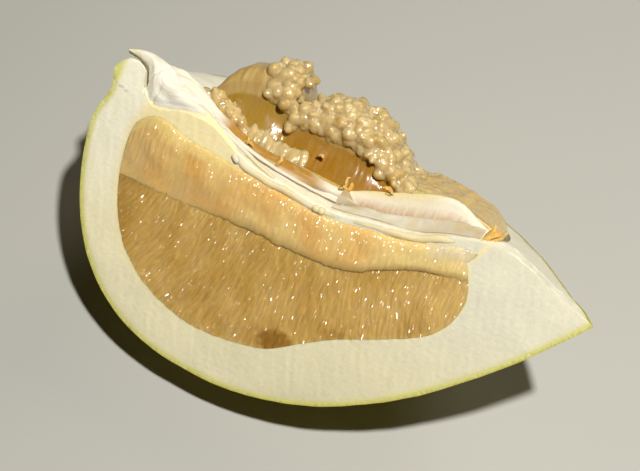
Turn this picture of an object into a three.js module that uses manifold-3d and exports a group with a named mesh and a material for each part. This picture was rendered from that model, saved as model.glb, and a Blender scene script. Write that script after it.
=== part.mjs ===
// A wedge of pomelo: a quarter of the fruit, cut from the blossom end to the stem end, lying on its rind.
// Units are millimetres. The wedge is shaped in a frame of its own, where the fruit's axis is X with the stem
// end at +X, the front cut is the plane y = 0 facing -Y, and the back cut lies near z = 0 facing up. At the end
// it is turned so that both cuts face up and outwards and the flattened belly rests on z = 0.
import * as THREE from "three";
import { mergeVertices } from "three/addons/utils/BufferGeometryUtils.js";
import Module from "manifold-3d";

const wasm = await Module();
wasm.setup();

const { clamp, lerp, seededRandom, smoothstep } = THREE.MathUtils;

// Driving sizes of the whole fruit.
const BELLY_RADIUS = 80;
const BLOSSOM_LENGTH = 66;
const STEM_LENGTH = 119;
const BLOSSOM_POWER = 2.4;
const STEM_POWER = 2.12;
const DIMPLE_DEPTH = 4;
const DIMPLE_RADIUS = 8;
const ZEST_THICKNESS = 1.2;
const FLAT_DEPTH = 1.6;
const GAP = 0.3;

// How finely the surfaces are divided.
const TURN_SEGMENTS = 40;
const BLOSSOM_STEPS = 9;
const STEM_STEPS = 13;
const TOP_STEPS = 38;
const SHELF_STEPS = 30;
const FACE_STEPS = [60, 12];
const SEAM_STEPS = 20;
const BAND_STEPS = [28, 7, 6];
const LUMP_STEPS = [24, 12];

// Room that the cutting blocks need around the fruit, and the little that they reach past its ends.
const FAR = 150;
const MARGIN = 3;
const TABLE_TURN = Math.PI / 4;

// A smooth value along the fruit, through [x, value] pairs.
function along(...pairs) {
  const places = pairs.map(([x]) => x);
  const values = pairs.map(([, value]) => value);
  const curve = new THREE.CubicInterpolant(places, values, 1, new Float64Array(1));
  return (x) => curve.evaluate(clamp(x, places[0], places.at(-1)))[0];
}

// The upper surface over the core, as heights at set depths behind the front cut: the torn stub and flap at the
// blossom end, the thin rope of membrane along the cut, the white gutter behind it, the pocket that a lifted
// membrane leaves near the stem end, its raised lip, and the dip in front of the torn segment.
const CORE_ROWS = [
  {
    depth: 0,
    height: along([-66, 0], [-62, 9], [-57, 11.5], [-52, 9], [-49, 2], [-35, 1.5], [-20, 0.5], [-8, -3.5],
      [10, -5], [25, -5.5], [40, -2.5], [55, 0.5], [66, 5], [80, 9], [92, 8], [105, 3.5], [119, 0]),
  },
  {
    depth: 2,
    height: along([-66, 0], [-62, 9], [-57, 11.5], [-52, 8.5], [-49, 4], [-38, 6], [-30, 6.5], [-20, 3.5],
      [-8, -1.5], [10, -3], [25, -3.8], [40, -1], [55, 2], [66, 6.5], [80, 9.5], [92, 8], [105, 3.5], [119, 0]),
  },
  {
    depth: 4.5,
    height: along([-64, 5], [-57, 10.5], [-52, 7], [-46, 9.5], [-38, 9.5], [-26, 5], [-10, -1.5], [8, -2.8],
      [25, -3], [32, -1], [40, 0], [50, 3], [60, 7], [70, 10], [80, 10], [92, 7.5], [105, 3], [119, 0]),
  },
  {
    depth: 7,
    height: along([-64, 5], [-57, 8.5], [-52, 9], [-44, 12], [-36, 11], [-26, 6], [-12, 0.5], [8, -0.5],
      [27, -1.5], [35, -4], [45, -4], [55, -1], [65, 5], [74, 9.5], [84, 9.5], [105, 3], [119, 0]),
  },
  {
    depth: 9.5,
    height: along([-64, 6], [-58, 10.5], [-44, 13], [-36, 11.5], [-26, 6.5], [-12, 2], [10, 1], [25, 1],
      [35, 5], [45, 9], [55, 13], [64, 14], [74, 10.5], [92, 7], [105, 2.5], [119, 0]),
  },
  {
    depth: 12.5,
    height: along([-64, 6], [-50, 9.5], [-40, 8], [-28, 2], [-18, -1], [10, -2], [26, -2], [40, 0.5],
      [50, 4], [62, 8], [74, 8.5], [92, 6], [105, 2], [119, 0]),
  },
];

// The seam between the two front segments on the front cut, and the top of the middle one, under the core.
const SEAM = along([-50, -27], [-30, -25.5], [0, -23], [20, -22.5], [40, -19.5], [50, -14], [60, -9], [80, -4]);
const BAND_TOP = along([-50, -7], [-46, -2], [-38, -1], [-28, -1], [-18, -3], [-8, -5.5], [10, -7.5], [20, -8],
  [30, -7], [40, -5], [50, -3.3], [60, -0.3], [70, 3.5], [76, 4]);
const SHELF_BACK = -3.5;
const FRONT_MEMBRANE_SLOPE = 0.45;
const BACK_MEMBRANE_SLOPE = 1.4;
const CORE_DEPTH = 13;

// The depths at which the surface behind the core is divided.
const SLOPE_DEPTHS = [22, 40, 60, BELLY_RADIUS + 5];

// The room that holds the pulp, as the ends of its length along the fruit, and how far out it reaches.
const PULP_FROM = -54;
const PULP_TO = 82;
const PULP_REACH = 68;
const PULP_BACK = 70;

// The pulp's outline on the front cut, from the blossom side round the outer edge to the stem side.
const PULP_OUTLINE = [
  [-44, 0], [-48.5, 6], [-50, 16], [-47, 33], [-38, 50], [-20, 61.5], [0, 64],
  [22, 59], [44, 44.5], [66, 32.5], [76, 23], [79, 12], [76, 3], [74, 0],
];
// The same outline behind the second membrane, where the torn segment ends short of the blossom side.
const TORN_OUTLINE = [
  [-34, 0], [-38, 8], [-39, 22], [-36, 44], [-24, 59], [0, 64],
  [22, 59], [44, 44.5], [66, 32.5], [76, 23], [79, 12], [76, 3], [74, 0],
];

// The lump of juice sacs that stands out of the back cut: its height along the fruit, and its section, from the
// undercut wall over the dip, across the top and down to the pith.
const LUMP_CREST = along([-42, 2], [-34, 10], [-20, 19], [-11, 22.5], [-3, 18.5], [8, 20], [22, 18.5], [32, 10],
  [42, 4], [52, 2.5], [78, 2.5]);
const LUMP_FROM = -38;
const LUMP_TO = 77;
const LUMP_FOOT = 14;
const LUMP_LEAST_WIDTH = 4;
const LUMP_SINK = 1.5;
const LUMP_SECTION = new THREE.SplineCurve([
  new THREE.Vector2(0, 0), new THREE.Vector2(0.11, 0.35), new THREE.Vector2(0.12, 0.6),
  new THREE.Vector2(0.12, 0.8), new THREE.Vector2(0.2, 0.97), new THREE.Vector2(0.38, 0.98),
  new THREE.Vector2(0.62, 0.78), new THREE.Vector2(0.85, 0.38), new THREE.Vector2(1, 0),
]);

// A closed three.js geometry as a solid, and back.
function solidOf(geometry) {
  geometry.deleteAttribute("normal");
  geometry.deleteAttribute("uv");
  const merged = mergeVertices(geometry, 1e-4);
  const mesh = new wasm.Mesh({
    numProp: 3,
    vertProperties: new Float32Array(merged.attributes.position.array),
    triVerts: new Uint32Array(merged.index.array),
  });
  return new wasm.Manifold(mesh);
}

// A node's solid without the specks that cutting leaves loose.
function wholeBody(solid) {
  const bodies = solid.decompose();
  return bodies.reduce((largest, body) => (body.volume() > largest.volume() ? body : largest));
}

function geometryOf(solid) {
  const mesh = solid.getMesh();
  const geometry = new THREE.BufferGeometry();
  geometry.setAttribute("position", new THREE.BufferAttribute(new Float32Array(mesh.vertProperties), 3));
  geometry.setIndex(new THREE.BufferAttribute(new Uint32Array(mesh.triVerts), 1));
  return geometry;
}

// A block whose points (u, v, w), each from 0 to 1, are moved to place(u, v, w).
function moulded(uSteps, vSteps, wSteps, place) {
  const block = new THREE.BoxGeometry(1, 1, 1, uSteps, vSteps, wSteps);
  const position = block.attributes.position;
  for (let i = 0; i < position.count; i++) {
    const moved = place(position.getX(i) + 0.5, position.getY(i) + 0.5, position.getZ(i) + 0.5);
    position.setXYZ(i, ...moved);
  }
  return solidOf(block);
}

// A solid turned round the X axis from Vector2(radius, x) points that start and end on the axis.
function turned(points) {
  const lathe = new THREE.LatheGeometry(points, TURN_SEGMENTS);
  lathe.rotateZ(-Math.PI / 2);
  return solidOf(lathe);
}

// Moves each point of an outline sideways by the same distance, outwards if it is positive.
function offsetOutline(points, distance) {
  const last = points.length - 1;
  return points.map((point, i) => {
    const before = points[Math.max(i - 1, 0)];
    const after = points[Math.min(i + 1, last)];
    const side = new THREE.Vector2(after.y - before.y, before.x - after.x).normalize();
    if (i === 0 || i === last) return new THREE.Vector2(0, point.y + Math.sign(side.y) * distance);
    return point.clone().addScaledVector(side, distance);
  });
}

// The fruit's outer radius at a place along it.
function rindRadius(x) {
  if (x < -BLOSSOM_LENGTH || x > STEM_LENGTH) return 0;
  if (x < 0) return BELLY_RADIUS * (1 - (-x / BLOSSOM_LENGTH) ** BLOSSOM_POWER) ** (1 / BLOSSOM_POWER);
  return BELLY_RADIUS * (1 - (x / STEM_LENGTH) ** STEM_POWER);
}

// The rind's outer outline with the dimple at its blossom end, set in by a distance.
function rindOutline(inset) {
  const points = [];
  for (let i = 0; i <= BLOSSOM_STEPS; i++) {
    const angle = (i / BLOSSOM_STEPS) * (Math.PI / 2);
    const radius = BELLY_RADIUS * Math.sin(angle) ** (2 / BLOSSOM_POWER);
    const dimple = DIMPLE_DEPTH * Math.exp(-((radius / DIMPLE_RADIUS) ** 2));
    points.push(new THREE.Vector2(radius, dimple - BLOSSOM_LENGTH * Math.cos(angle) ** (2 / BLOSSOM_POWER)));
  }
  for (let i = 1; i <= STEM_STEPS; i++) {
    const x = (STEM_LENGTH * i) / STEM_STEPS;
    points.push(new THREE.Vector2(rindRadius(x), x));
  }
  return offsetOutline(points, -inset);
}

// A smooth outline through a pulp outline's corners, moved outwards by a distance.
function pulpOutline(corners, outset) {
  const curve = new THREE.SplineCurve(corners.map(([x, radius]) => new THREE.Vector2(radius, x)));
  const points = curve.getPoints(2 * corners.length).map((p) => new THREE.Vector2(Math.max(p.x, 0), p.y));
  return offsetOutline(points, outset);
}

// The widest radius of an outline at a place along the fruit.
function outlineRadius(points, x) {
  let radius = 0;
  for (let i = 1; i < points.length; i++) {
    const [a, b] = [points[i - 1], points[i]];
    if ((a.y - x) * (b.y - x) > 0 || a.y === b.y) continue;
    radius = Math.max(radius, lerp(a.x, b.x, (x - a.y) / (b.y - a.y)));
  }
  return radius;
}

// The height of the upper surface: over the core it passes through the rows, and behind them it runs down to the
// rind's edge on the back cut.
function topHeight(x, y) {
  const last = CORE_ROWS.at(-1);
  if (y >= last.depth) {
    const rim = Math.max(rindRadius(x), last.depth + 1);
    return last.height(x) * Math.max(0, (rim - y) / (rim - last.depth));
  }
  const behind = Math.max(CORE_ROWS.findIndex((row) => row.depth > y), 1);
  const [near, far] = [CORE_ROWS[behind - 1], CORE_ROWS[behind]];
  return lerp(near.height(x), far.height(x), clamp((y - near.depth) / (far.depth - near.depth), 0, 1));
}

// The block above that surface, which is cut away.
function aboveTop() {
  const depths = [-MARGIN, ...CORE_ROWS.map((row) => row.depth), ...SLOPE_DEPTHS];
  return moulded(TOP_STEPS, depths.length - 1, 1, (u, v, w) => {
    const x = lerp(-BLOSSOM_LENGTH - MARGIN, STEM_LENGTH + MARGIN, u);
    const y = depths[Math.round(v * (depths.length - 1))];
    return [x, y, lerp(topHeight(x, y), FAR, w)];
  });
}

function beforeFrontCut() {
  const block = new THREE.BoxGeometry(2 * FAR, FAR, 2 * FAR);
  block.translate(0, -FAR / 2, 0);
  return solidOf(block);
}

function belowTable(raised) {
  const block = new THREE.BoxGeometry(2 * FAR, 2 * FAR, FAR);
  block.translate(0, 0, -FAR / 2 - BELLY_RADIUS + FLAT_DEPTH + raised);
  block.rotateX(TABLE_TURN);
  return solidOf(block);
}

// The whole fruit's shape, set in, with its flattened belly, and the wedge that the two cuts leave of it.
function fruit(inset) {
  return turned(rindOutline(inset)).subtract(belowTable(inset));
}

function wedge(inset) {
  return fruit(inset).subtract(beforeFrontCut()).subtract(aboveTop());
}

// The roof over the two front segments: the shelf under the core, then the back membrane's slope.
function shelfHeight(x, y) {
  if (y < CORE_DEPTH) return lerp(BAND_TOP(x), SHELF_BACK, clamp(y / CORE_DEPTH, 0, 1));
  return SHELF_BACK - (y - CORE_DEPTH) / BACK_MEMBRANE_SLOPE;
}

function belowShelf(raised) {
  const depths = [-MARGIN, 0, CORE_DEPTH, SLOPE_DEPTHS.at(-1)];
  return moulded(SHELF_STEPS, depths.length - 1, 1, (u, v, w) => {
    const x = lerp(-FAR / 2, FAR / 2 + 10, u);
    const y = depths[Math.round(v * (depths.length - 1))];
    return [x, y, lerp(-FAR, shelfHeight(x, y) + raised, w)];
  });
}

// Room in the peel for the two front segments, and for the torn one behind the back membrane.
function makeFrontRoom() {
  return turned(pulpOutline(PULP_OUTLINE, GAP)).intersect(belowShelf(GAP));
}

// Everything behind the second membrane, moved back by a distance, up to a height.
function behindBackMembrane(moved, top) {
  const heights = [-FAR, SHELF_BACK, top];
  return moulded(1, 1, heights.length - 1, (u, v, w) => {
    const z = heights[Math.round(w * (heights.length - 1))];
    const front = CORE_DEPTH + Math.max(0, SHELF_BACK - z) * BACK_MEMBRANE_SLOPE;
    return [lerp(-FAR, FAR, u), lerp(front + moved, 2 * FAR, v), z];
  });
}

function makeTornRoom() {
  return turned(pulpOutline(TORN_OUTLINE, GAP)).intersect(behindBackMembrane(0, FAR));
}

// The front segment was sliced open: its juice sacs lie as low ridges that run from the pith towards the core.
const RIDGE_PITCH = 6;
const RIDGE_LENGTH = 17;
const RIDGE_RELIEF = 0.8;
const RIDGE_STAGGER = 2.3;
const RIDGE_LEAN = 0.12;
const RIDGE_GROOVE = 0.35;
function ridgeRelief(x, z) {
  const row = Math.floor(-z / RIDGE_LENGTH);
  const across = Math.cos((2 * Math.PI * (x + row * RIDGE_STAGGER + RIDGE_LEAN * z)) / RIDGE_PITCH);
  const lengthwise = Math.sin(Math.PI * (-z / RIDGE_LENGTH - row));
  const crest = lerp(RIDGE_GROOVE, 1, Math.max(0, across));
  return RIDGE_RELIEF * crest * Math.sqrt(Math.max(0, lengthwise));
}

function makeFrontSegment() {
  const face = moulded(FACE_STEPS[0], 1, FACE_STEPS[1], (u, v, w) => {
    const x = lerp(PULP_FROM, PULP_TO, u);
    const z = lerp(-PULP_REACH, 0, w);
    return [x, v > 0.5 ? FAR : -ridgeRelief(x, z), z];
  });
  const sliver = moulded(SEAM_STEPS, 1, 1, (u, v, w) => {
    const x = lerp(-FAR / 2, STEM_LENGTH, u);
    const z = lerp(-FAR, SEAM(x) - GAP, w);
    const membrane = Math.max(0, SEAM(x) - z) * FRONT_MEMBRANE_SLOPE;
    return [x, v > 0.5 ? Math.max(membrane - GAP, 0) : -FAR / 2, z];
  });
  return turned(pulpOutline(PULP_OUTLINE, 0)).intersect(face).intersect(sliver);
}

// The middle segment still has its skin: its front swells out of the cut and rolls over under the core.
const BAND_SWELL = 1.6;
const BAND_RISE = [-54, -36];
const BAND_FALL = [66, 80];
const BAND_COVER = 0.5;
const BAND_CROWDING = 1.6;
function bandFront(x, height) {
  const swell = Math.sqrt(Math.max(0, 1 - (2 * height - 1) ** 4));
  return -BAND_SWELL * swell * smoothstep(x, ...BAND_RISE) * (1 - smoothstep(x, ...BAND_FALL));
}

function makeMiddleSegment() {
  const body = moulded(...BAND_STEPS, (u, v, w) => {
    const x = lerp(PULP_FROM, PULP_TO, u);
    const y = v < 0.01 ? bandFront(x, w) : lerp(0, PULP_BACK, v ** BAND_CROWDING);
    const low = SEAM(x) + GAP - Math.max(0, y) / FRONT_MEMBRANE_SLOPE;
    return [x, y, lerp(low, Math.max(shelfHeight(x, y), low) + BAND_COVER, w)];
  });
  return turned(pulpOutline(PULP_OUTLINE, 0)).intersect(belowShelf(0)).intersect(body);
}

// The back segment was torn open: its sacs stand up in a lump, with an undercut wall towards the core.
const tornOutline = pulpOutline(TORN_OUTLINE, 0);

function lumpPoint(x, share) {
  const { x: across, y: up } = LUMP_SECTION.getPoint(share);
  const back = Math.max(outlineRadius(tornOutline, x) - GAP, LUMP_FOOT + LUMP_LEAST_WIDTH);
  return new THREE.Vector3(x, lerp(LUMP_FOOT, back, across), lerp(-LUMP_SINK, LUMP_CREST(x), up));
}

// Its loose sacs stand in staggered rows over the lump, each with its root sunk in.
const SAC_COLUMNS = 15;
const SAC_ROWS = 6;
const SAC_PLACES = [-36, 40];
const SAC_SHARES = [0.3, 0.96];
const SAC_STRAY = 0.7;
const SAC_WIDTHS = [5.5, 7.5];
const SAC_LENGTHS = [9, 14];
const SAC_SIDES = 6;
const SAC_RINGS = 4;
const SAC_TAPER = 0.5;
const SAC_SEED = 7;

// How much a sac stands straight out of the lump, and how far its random lean is drawn towards the core.
const SAC_UPRIGHT = 0.6;
const SAC_FORWARD = 0.3;
function makeSac(column, row) {
  const stagger = row % 2 ? 0.5 : 0;
  const x = lerp(...SAC_PLACES, (column + stagger + SAC_STRAY * (seededRandom() - 0.5)) / SAC_COLUMNS);
  const share = lerp(...SAC_SHARES, (row + 0.5 + SAC_STRAY * (seededRandom() - 0.5)) / SAC_ROWS);
  const foot = lumpPoint(x, share);
  const alongLump = lumpPoint(x + 1, share).sub(foot);
  const acrossLump = lumpPoint(x, share + 0.02).sub(foot);
  const outwards = alongLump.cross(acrossLump).normalize();
  const lean = new THREE.Vector3(seededRandom(), seededRandom() - SAC_FORWARD, seededRandom()).subScalar(0.5);
  const direction = outwards.multiplyScalar(SAC_UPRIGHT).add(lean).normalize();
  const width = lerp(...SAC_WIDTHS, seededRandom());
  const length = lerp(...SAC_LENGTHS, seededRandom());
  const sac = new THREE.SphereGeometry(0.5, SAC_SIDES, SAC_RINGS);
  const position = sac.attributes.position;
  for (let i = 0; i < position.count; i++) {
    const slim = 1 + SAC_TAPER * position.getY(i);
    position.setX(i, position.getX(i) * slim);
    position.setZ(i, position.getZ(i) * slim);
  }
  sac.scale(width, length, width);
  sac.applyQuaternion(new THREE.Quaternion().setFromUnitVectors(new THREE.Vector3(0, 1, 0), direction));
  sac.translate(foot.x, foot.y, foot.z);
  return solidOf(sac);
}

function makeBackSegment() {
  const body = turned(tornOutline).intersect(behindBackMembrane(2 * GAP, 0));
  const lump = moulded(...LUMP_STEPS, 1, (u, v, w) => {
    const top = lumpPoint(lerp(LUMP_FROM, LUMP_TO, u), v);
    return [top.x, top.y, lerp(-LUMP_SINK, top.z, w)];
  });
  seededRandom(SAC_SEED);
  const sacs = [];
  for (let row = 0; row < SAC_ROWS; row++) {
    for (let column = 0; column < SAC_COLUMNS; column++) sacs.push(makeSac(column, row));
  }
  const outline = new THREE.Shape(tornOutline.map((point) => new THREE.Vector2(point.y, point.x)));
  const column = new THREE.ExtrudeGeometry(outline, { depth: FAR, bevelEnabled: false });
  column.translate(0, 0, -LUMP_SINK);
  const heap = wasm.Manifold.union([lump, ...sacs]).intersect(solidOf(column));
  return body.add(heap.intersect(behindBackMembrane(2 * GAP, FAR)));
}

// Small torn tips of membrane that stand on the core: [x, depth, size].
const TORN_TIPS = [[-10, 3, 3], [27, 6, 5], [40, 9, 3], [80, 4, 5]];
const TIP_SHOWN = 1 / 6;

function makePith() {
  const peel = wedge(ZEST_THICKNESS + GAP).subtract(makeFrontRoom()).subtract(makeTornRoom());
  const tips = TORN_TIPS.map(([x, y, size]) => {
    const tip = new THREE.IcosahedronGeometry(size / 2, 0);
    tip.translate(x, y, topHeight(x, y) + size * TIP_SHOWN);
    return solidOf(tip);
  });
  return peel.add(wasm.Manifold.union(tips));
}

function makeZest() {
  return wedge(0).subtract(fruit(ZEST_THICKNESS));
}

const FINISHES = {
  zest: { color: 0xa9a148, roughness: 0.5 },
  pith: { color: 0xeee5c6, roughness: 0.8 },
  front_segment: { color: 0xbf9a4c, roughness: 0.25 },
  middle_segment: { color: 0xdcb97b, roughness: 0.35 },
  back_segment: { color: 0xc9ad78, roughness: 0.25 },
};
const SOLIDS = {
  zest: makeZest(),
  pith: makePith(),
  front_segment: makeFrontSegment(),
  middle_segment: makeMiddleSegment(),
  back_segment: makeBackSegment(),
};

const leaning = new THREE.Group();
for (const [name, solid] of Object.entries(SOLIDS)) {
  const geometry = geometryOf(wholeBody(solid));
  geometry.computeVertexNormals();
  const mesh = new THREE.Mesh(geometry, new THREE.MeshStandardMaterial({ metalness: 0, ...FINISHES[name] }));
  mesh.name = name;
  leaning.add(mesh);
}
leaning.rotation.x = -TABLE_TURN;

// The origin is on the table, under the middle of the whole wedge.
const pomelo = new THREE.Group();
pomelo.name = "pomelo_wedge";
pomelo.add(leaning);
const box = new THREE.Box3().setFromObject(pomelo, true);
const middle = box.getCenter(new THREE.Vector3());
leaning.position.set(-middle.x, -middle.y, -box.min.z);

export default pomelo;
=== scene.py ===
"""Dresses a pomelo wedge: a quarter of the fruit with a sliced cut in front and a torn one behind."""

import bisect
import functools
import math
import random

import bmesh
import bpy
from bpy.props import FloatProperty, FloatVectorProperty, IntProperty, PointerProperty
from mathutils import Matrix, Vector, noise
from mathutils.kdtree import KDTree


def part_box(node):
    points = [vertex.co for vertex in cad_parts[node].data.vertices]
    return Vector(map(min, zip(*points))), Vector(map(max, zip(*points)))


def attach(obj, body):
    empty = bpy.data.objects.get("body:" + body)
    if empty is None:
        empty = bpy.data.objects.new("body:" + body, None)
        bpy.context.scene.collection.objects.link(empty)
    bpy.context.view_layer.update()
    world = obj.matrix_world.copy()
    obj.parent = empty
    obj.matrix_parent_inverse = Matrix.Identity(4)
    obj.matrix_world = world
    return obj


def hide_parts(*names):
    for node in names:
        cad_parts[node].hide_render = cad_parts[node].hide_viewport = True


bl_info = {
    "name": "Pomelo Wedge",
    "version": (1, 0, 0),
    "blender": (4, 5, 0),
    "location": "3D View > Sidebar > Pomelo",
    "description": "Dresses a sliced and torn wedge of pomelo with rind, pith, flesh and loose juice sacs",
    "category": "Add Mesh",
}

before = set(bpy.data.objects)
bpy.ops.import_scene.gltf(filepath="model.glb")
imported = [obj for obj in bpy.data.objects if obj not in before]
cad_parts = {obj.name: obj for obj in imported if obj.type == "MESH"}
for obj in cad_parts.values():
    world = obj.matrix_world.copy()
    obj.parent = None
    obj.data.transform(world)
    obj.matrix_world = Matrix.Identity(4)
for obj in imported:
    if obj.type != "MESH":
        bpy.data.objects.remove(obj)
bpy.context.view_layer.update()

MM = 0.001

# The whole fruit, in millimetres.
BELLY_RADIUS = 80.0
BLOSSOM_LENGTH = 66.0
STEM_LENGTH = 119.0
BLOSSOM_POWER = 2.4
STEM_POWER = 2.12
DIMPLE_DEPTH = 4.0
DIMPLE_RADIUS = 8.0
FLAT_DEPTH = 1.6
FAR = 150.0
CUT_MARGIN = 3

# The upper surface's rows lie close together as far as this depth behind the sliced cut, and this share of
# them lies there.
FINE_DEPTH = 16.0
CORE_SHARE = 0.6

# The wedge's own frame: x along the fruit's axis towards the stem end, y as the depth behind the sliced cut,
# and z as the height over the torn cut's plane. Both cuts face up and outwards, so that frame leans by an
# eighth of a turn.
STEM_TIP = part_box("zest")[1].x / MM
AXIS_PLACE = Vector((STEM_TIP - STEM_LENGTH, 0.0, BELLY_RADIUS - FLAT_DEPTH))
TO_ROW = Matrix.Scale(MM, 4) @ Matrix.Translation(AXIS_PLACE) @ Matrix.Rotation(-math.pi / 4, 4, "X")
DOWN = Vector((0, 1, -1)).normalized()


# Small sums


def clamp(value, low=0.0, high=1.0):
    """The value, kept between low and high."""
    return max(low, min(high, value))


def mix(low, high, share):
    """The value at a share of the way from low to high."""
    return low + (high - low) * share


def smooth(value, start, end):
    """A soft step: 0 at start and before it, 1 at end and past it."""
    share = clamp((value - start) / (end - start))
    return share * share * (3 - 2 * share)


def bell(value, middle, width):
    """1 at the middle, falling softly to either side."""
    return math.exp(-(((value - middle) / width) ** 2))


def between(value, start, full, fading, end):
    """1 from full to fading, and 0 before start and after end."""
    return smooth(value, start, full) * (1 - smooth(value, fading, end))


def grain(x, y, x_size, y_size, seed):
    """Soft noise from about -1 to 1, with its own size along each direction. The seed only sets it apart."""
    return noise.noise(Vector((x / x_size, y / y_size, seed)))


def along(*pairs):
    """A smooth value through (place, value) pairs."""
    places = [place for place, _ in pairs]
    values = [value for _, value in pairs]
    last = len(pairs) - 1
    steps = [(values[i + 1] - values[i]) / (places[i + 1] - places[i]) for i in range(last)]
    slopes = [steps[0]] + [(a + b) / 2 for a, b in zip(steps, steps[1:])] + [steps[-1]]

    def value_at(place):
        place = clamp(place, places[0], places[-1])
        i = min(bisect.bisect_right(places, place) - 1, last - 1)
        span = places[i + 1] - places[i]
        t = (place - places[i]) / span
        bend = slopes[i] * (1 - t) - slopes[i + 1] * t
        return mix(values[i], values[i + 1], t * t * (3 - 2 * t)) + bend * span * t * (1 - t)

    return value_at


def curve_through(corners, steps):
    """A smooth open line through the corners, with this many steps between each two."""
    padded = [corners[0], *corners, corners[-1]]
    points = []
    for a, b, c, d in zip(padded, padded[1:], padded[2:], padded[3:]):
        for step in range(steps):
            t = step / steps
            points.append((
                Vector(b) * 2
                + (Vector(c) - Vector(a)) * t
                + (Vector(a) * 2 - Vector(b) * 5 + Vector(c) * 4 - Vector(d)) * t * t
                + (Vector(b) * 3 - Vector(a) - Vector(c) * 3 + Vector(d)) * t * t * t
            ) / 2)
    return points + [Vector(corners[-1])]


def tree_of(points):
    """Finds how far any place is from a line of points."""
    tree = KDTree(len(points))
    for i, point in enumerate(points):
        tree.insert((point[0], point[1], 0), i)
    tree.balance()
    return tree


# The shapes that the wedge is cut from

# The upper surface over the core, as heights at set depths behind the sliced cut: the torn stub and flap at
# the blossom end, the rope of membrane along the cut, the white gutter, the pocket near the stem end, its
# lip, and the dip in front of the torn segment.
CORE_ROWS = [
    (0.0, along((-66, 0), (-62, 9), (-57, 11.2), (-52, 9), (-49, 2), (-35, 2.8), (-24, 3), (-17, 1),
                (-8, -3.5), (10, -5), (25, -5.5), (40, -2.5), (55, 0.5), (66, 5), (80, 9), (92, 8),
                (105, 3.5), (119, 0))),
    (2.0, along((-66, 0), (-62, 9), (-57, 11.5), (-52, 8.5), (-49, 4), (-38, 6), (-30, 6.5), (-20, 3.5),
                (-8, -1.5), (10, -3), (25, -3.8), (40, -1), (55, 2), (66, 6.5), (80, 9.5), (92, 8),
                (105, 3.5), (119, 0))),
    (4.5, along((-64, 5), (-57, 10.5), (-52, 7), (-46, 9.5), (-38, 9.5), (-26, 5), (-10, -1.5), (8, -2.8),
                (25, -3), (32, -1), (40, 0), (50, 3), (60, 7), (70, 10), (80, 10), (92, 7.5), (105, 3),
                (119, 0))),
    (7.0, along((-64, 5), (-57, 8.5), (-52, 9), (-44, 12), (-36, 11), (-26, 6), (-12, 0.5), (8, -0.5),
                (27, -1.5), (35, -4), (45, -4), (55, -1), (65, 5), (74, 9.5), (84, 9.5), (105, 3), (119, 0))),
    (9.5, along((-64, 6), (-58, 10.5), (-44, 13), (-36, 11.5), (-26, 6.5), (-12, 2), (10, 1), (25, 1),
                (35, 5), (45, 9), (55, 13), (64, 14), (74, 10.5), (92, 7), (105, 2.5), (119, 0))),
    (12.5, along((-64, 6), (-50, 9.5), (-40, 8), (-28, 2), (-18, -1), (10, -2), (26, -2), (40, 0.5),
                 (50, 4), (62, 8), (74, 8.5), (92, 6), (105, 2), (119, 0))),
]
CORE_DEPTH = 13.0

# How far the torn cut's rim stands over the quarter turn.
RIM_RISE = along((-66, 0), (-54, 3.5), (-38, 3.5), (-22, 0), (40, 0), (60, 3), (90, 3), (112, 0))

# The seam between the two front segments, and the top of the middle one, under the core.
SEAM = along((-50, -27), (-30, -25.5), (0, -23), (20, -22.5), (40, -19.5), (50, -14), (60, -9), (80, -4))
BAND_TOP = along((-50, -9), (-46, -4.5), (-42, -2.8), (-38, -2.9), (-30, -4.8), (-20, -5.5), (-8, -6.4),
                 (10, -7.5), (20, -8), (30, -7), (40, -5), (50, -3.3), (60, -0.3), (70, 3.5), (76, 4))

# The shelf's height under the core's back edge, and how the two membranes behind the front segments slope.
SHELF_BACK = -3.5
FRONT_MEMBRANE_SLOPE = 0.45
BACK_MEMBRANE_SLOPE = 1.4

# The pulp's outline on the sliced cut, as (x, radius) from the blossom side round to the stem side, and the
# outline of the torn segment, which ends short of the blossom side.
PULP_OUTLINE = curve_through([
    (-44, 0), (-48.5, 6), (-50, 16), (-47, 33), (-38, 50), (-20, 61.5), (0, 64),
    (22, 59), (44, 44.5), (66, 32.5), (76, 23), (79, 12), (76, 3), (74, 0),
], 6)
TORN_OUTLINE = curve_through([
    (-34, 0), (-38, 8), (-39, 22), (-36, 44), (-24, 59), (0, 66),
    (22, 66), (42, 62), (58, 55), (70, 44), (79, 30), (80, 14), (76, 3), (74, 0),
], 6)

# How far the blocks that make the pulp reach along the fruit, and how far down.
PULP_START = -53.0
PULP_END = 81.0
PULP_BOTTOM = -67.0
LUMP_START = -38.5
LUMP_END = 77.5

# How far the pulp's pieces and the pith's slightly wider hollows reach past the outlines.
PULP_GAP = 0.05
HOLLOW_GAP = 0.1

# Dark patches of the sliced pulp, as (middle x, middle z, half width, half height, strength).
DARK_PATCHES = ((26.0, -56.0, 7.5, 5.5, 0.85), (44.0, -44.5, 5.0, 4.5, 0.45))

# The lump of juice sacs on the torn cut: its height along the fruit, and its section from the undercut wall
# over the dip, across the top and down to the pith.
LUMP_CREST = along((-42, 2), (-34, 11), (-31, 17), (-28, 20.5), (-24, 23.5), (-20, 25), (-16, 26.5),
                   (-10, 26.5), (-8, 24.5), (-6.5, 20), (-5, 14.5), (-2.5, 16), (2, 19.5), (8, 22), (20, 23),
                   (25, 21.5), (29, 18), (32, 14), (35, 10.5), (42, 9.5), (52, 10), (62, 10.5), (70, 10.5),
                   (76, 8.5), (80, 4))
LUMP_FOOT = 14.0
LUMP_SINK = 1.5
LUMP_SECTION = curve_through([
    (0, 0), (0.11, 0.35), (0.12, 0.6), (0.12, 0.8), (0.2, 0.97), (0.38, 0.98), (0.62, 0.78), (0.85, 0.38),
    (1, 0),
], 8)

# The height over the core down to which the loose sacs hang, above the bare wall.
SAC_FLOOR = along((-36, 3), (-30, 9), (-24, 12.9), (-1, 12.9), (4, 11), (26, 10), (30, 8.6), (42, 7))


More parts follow.
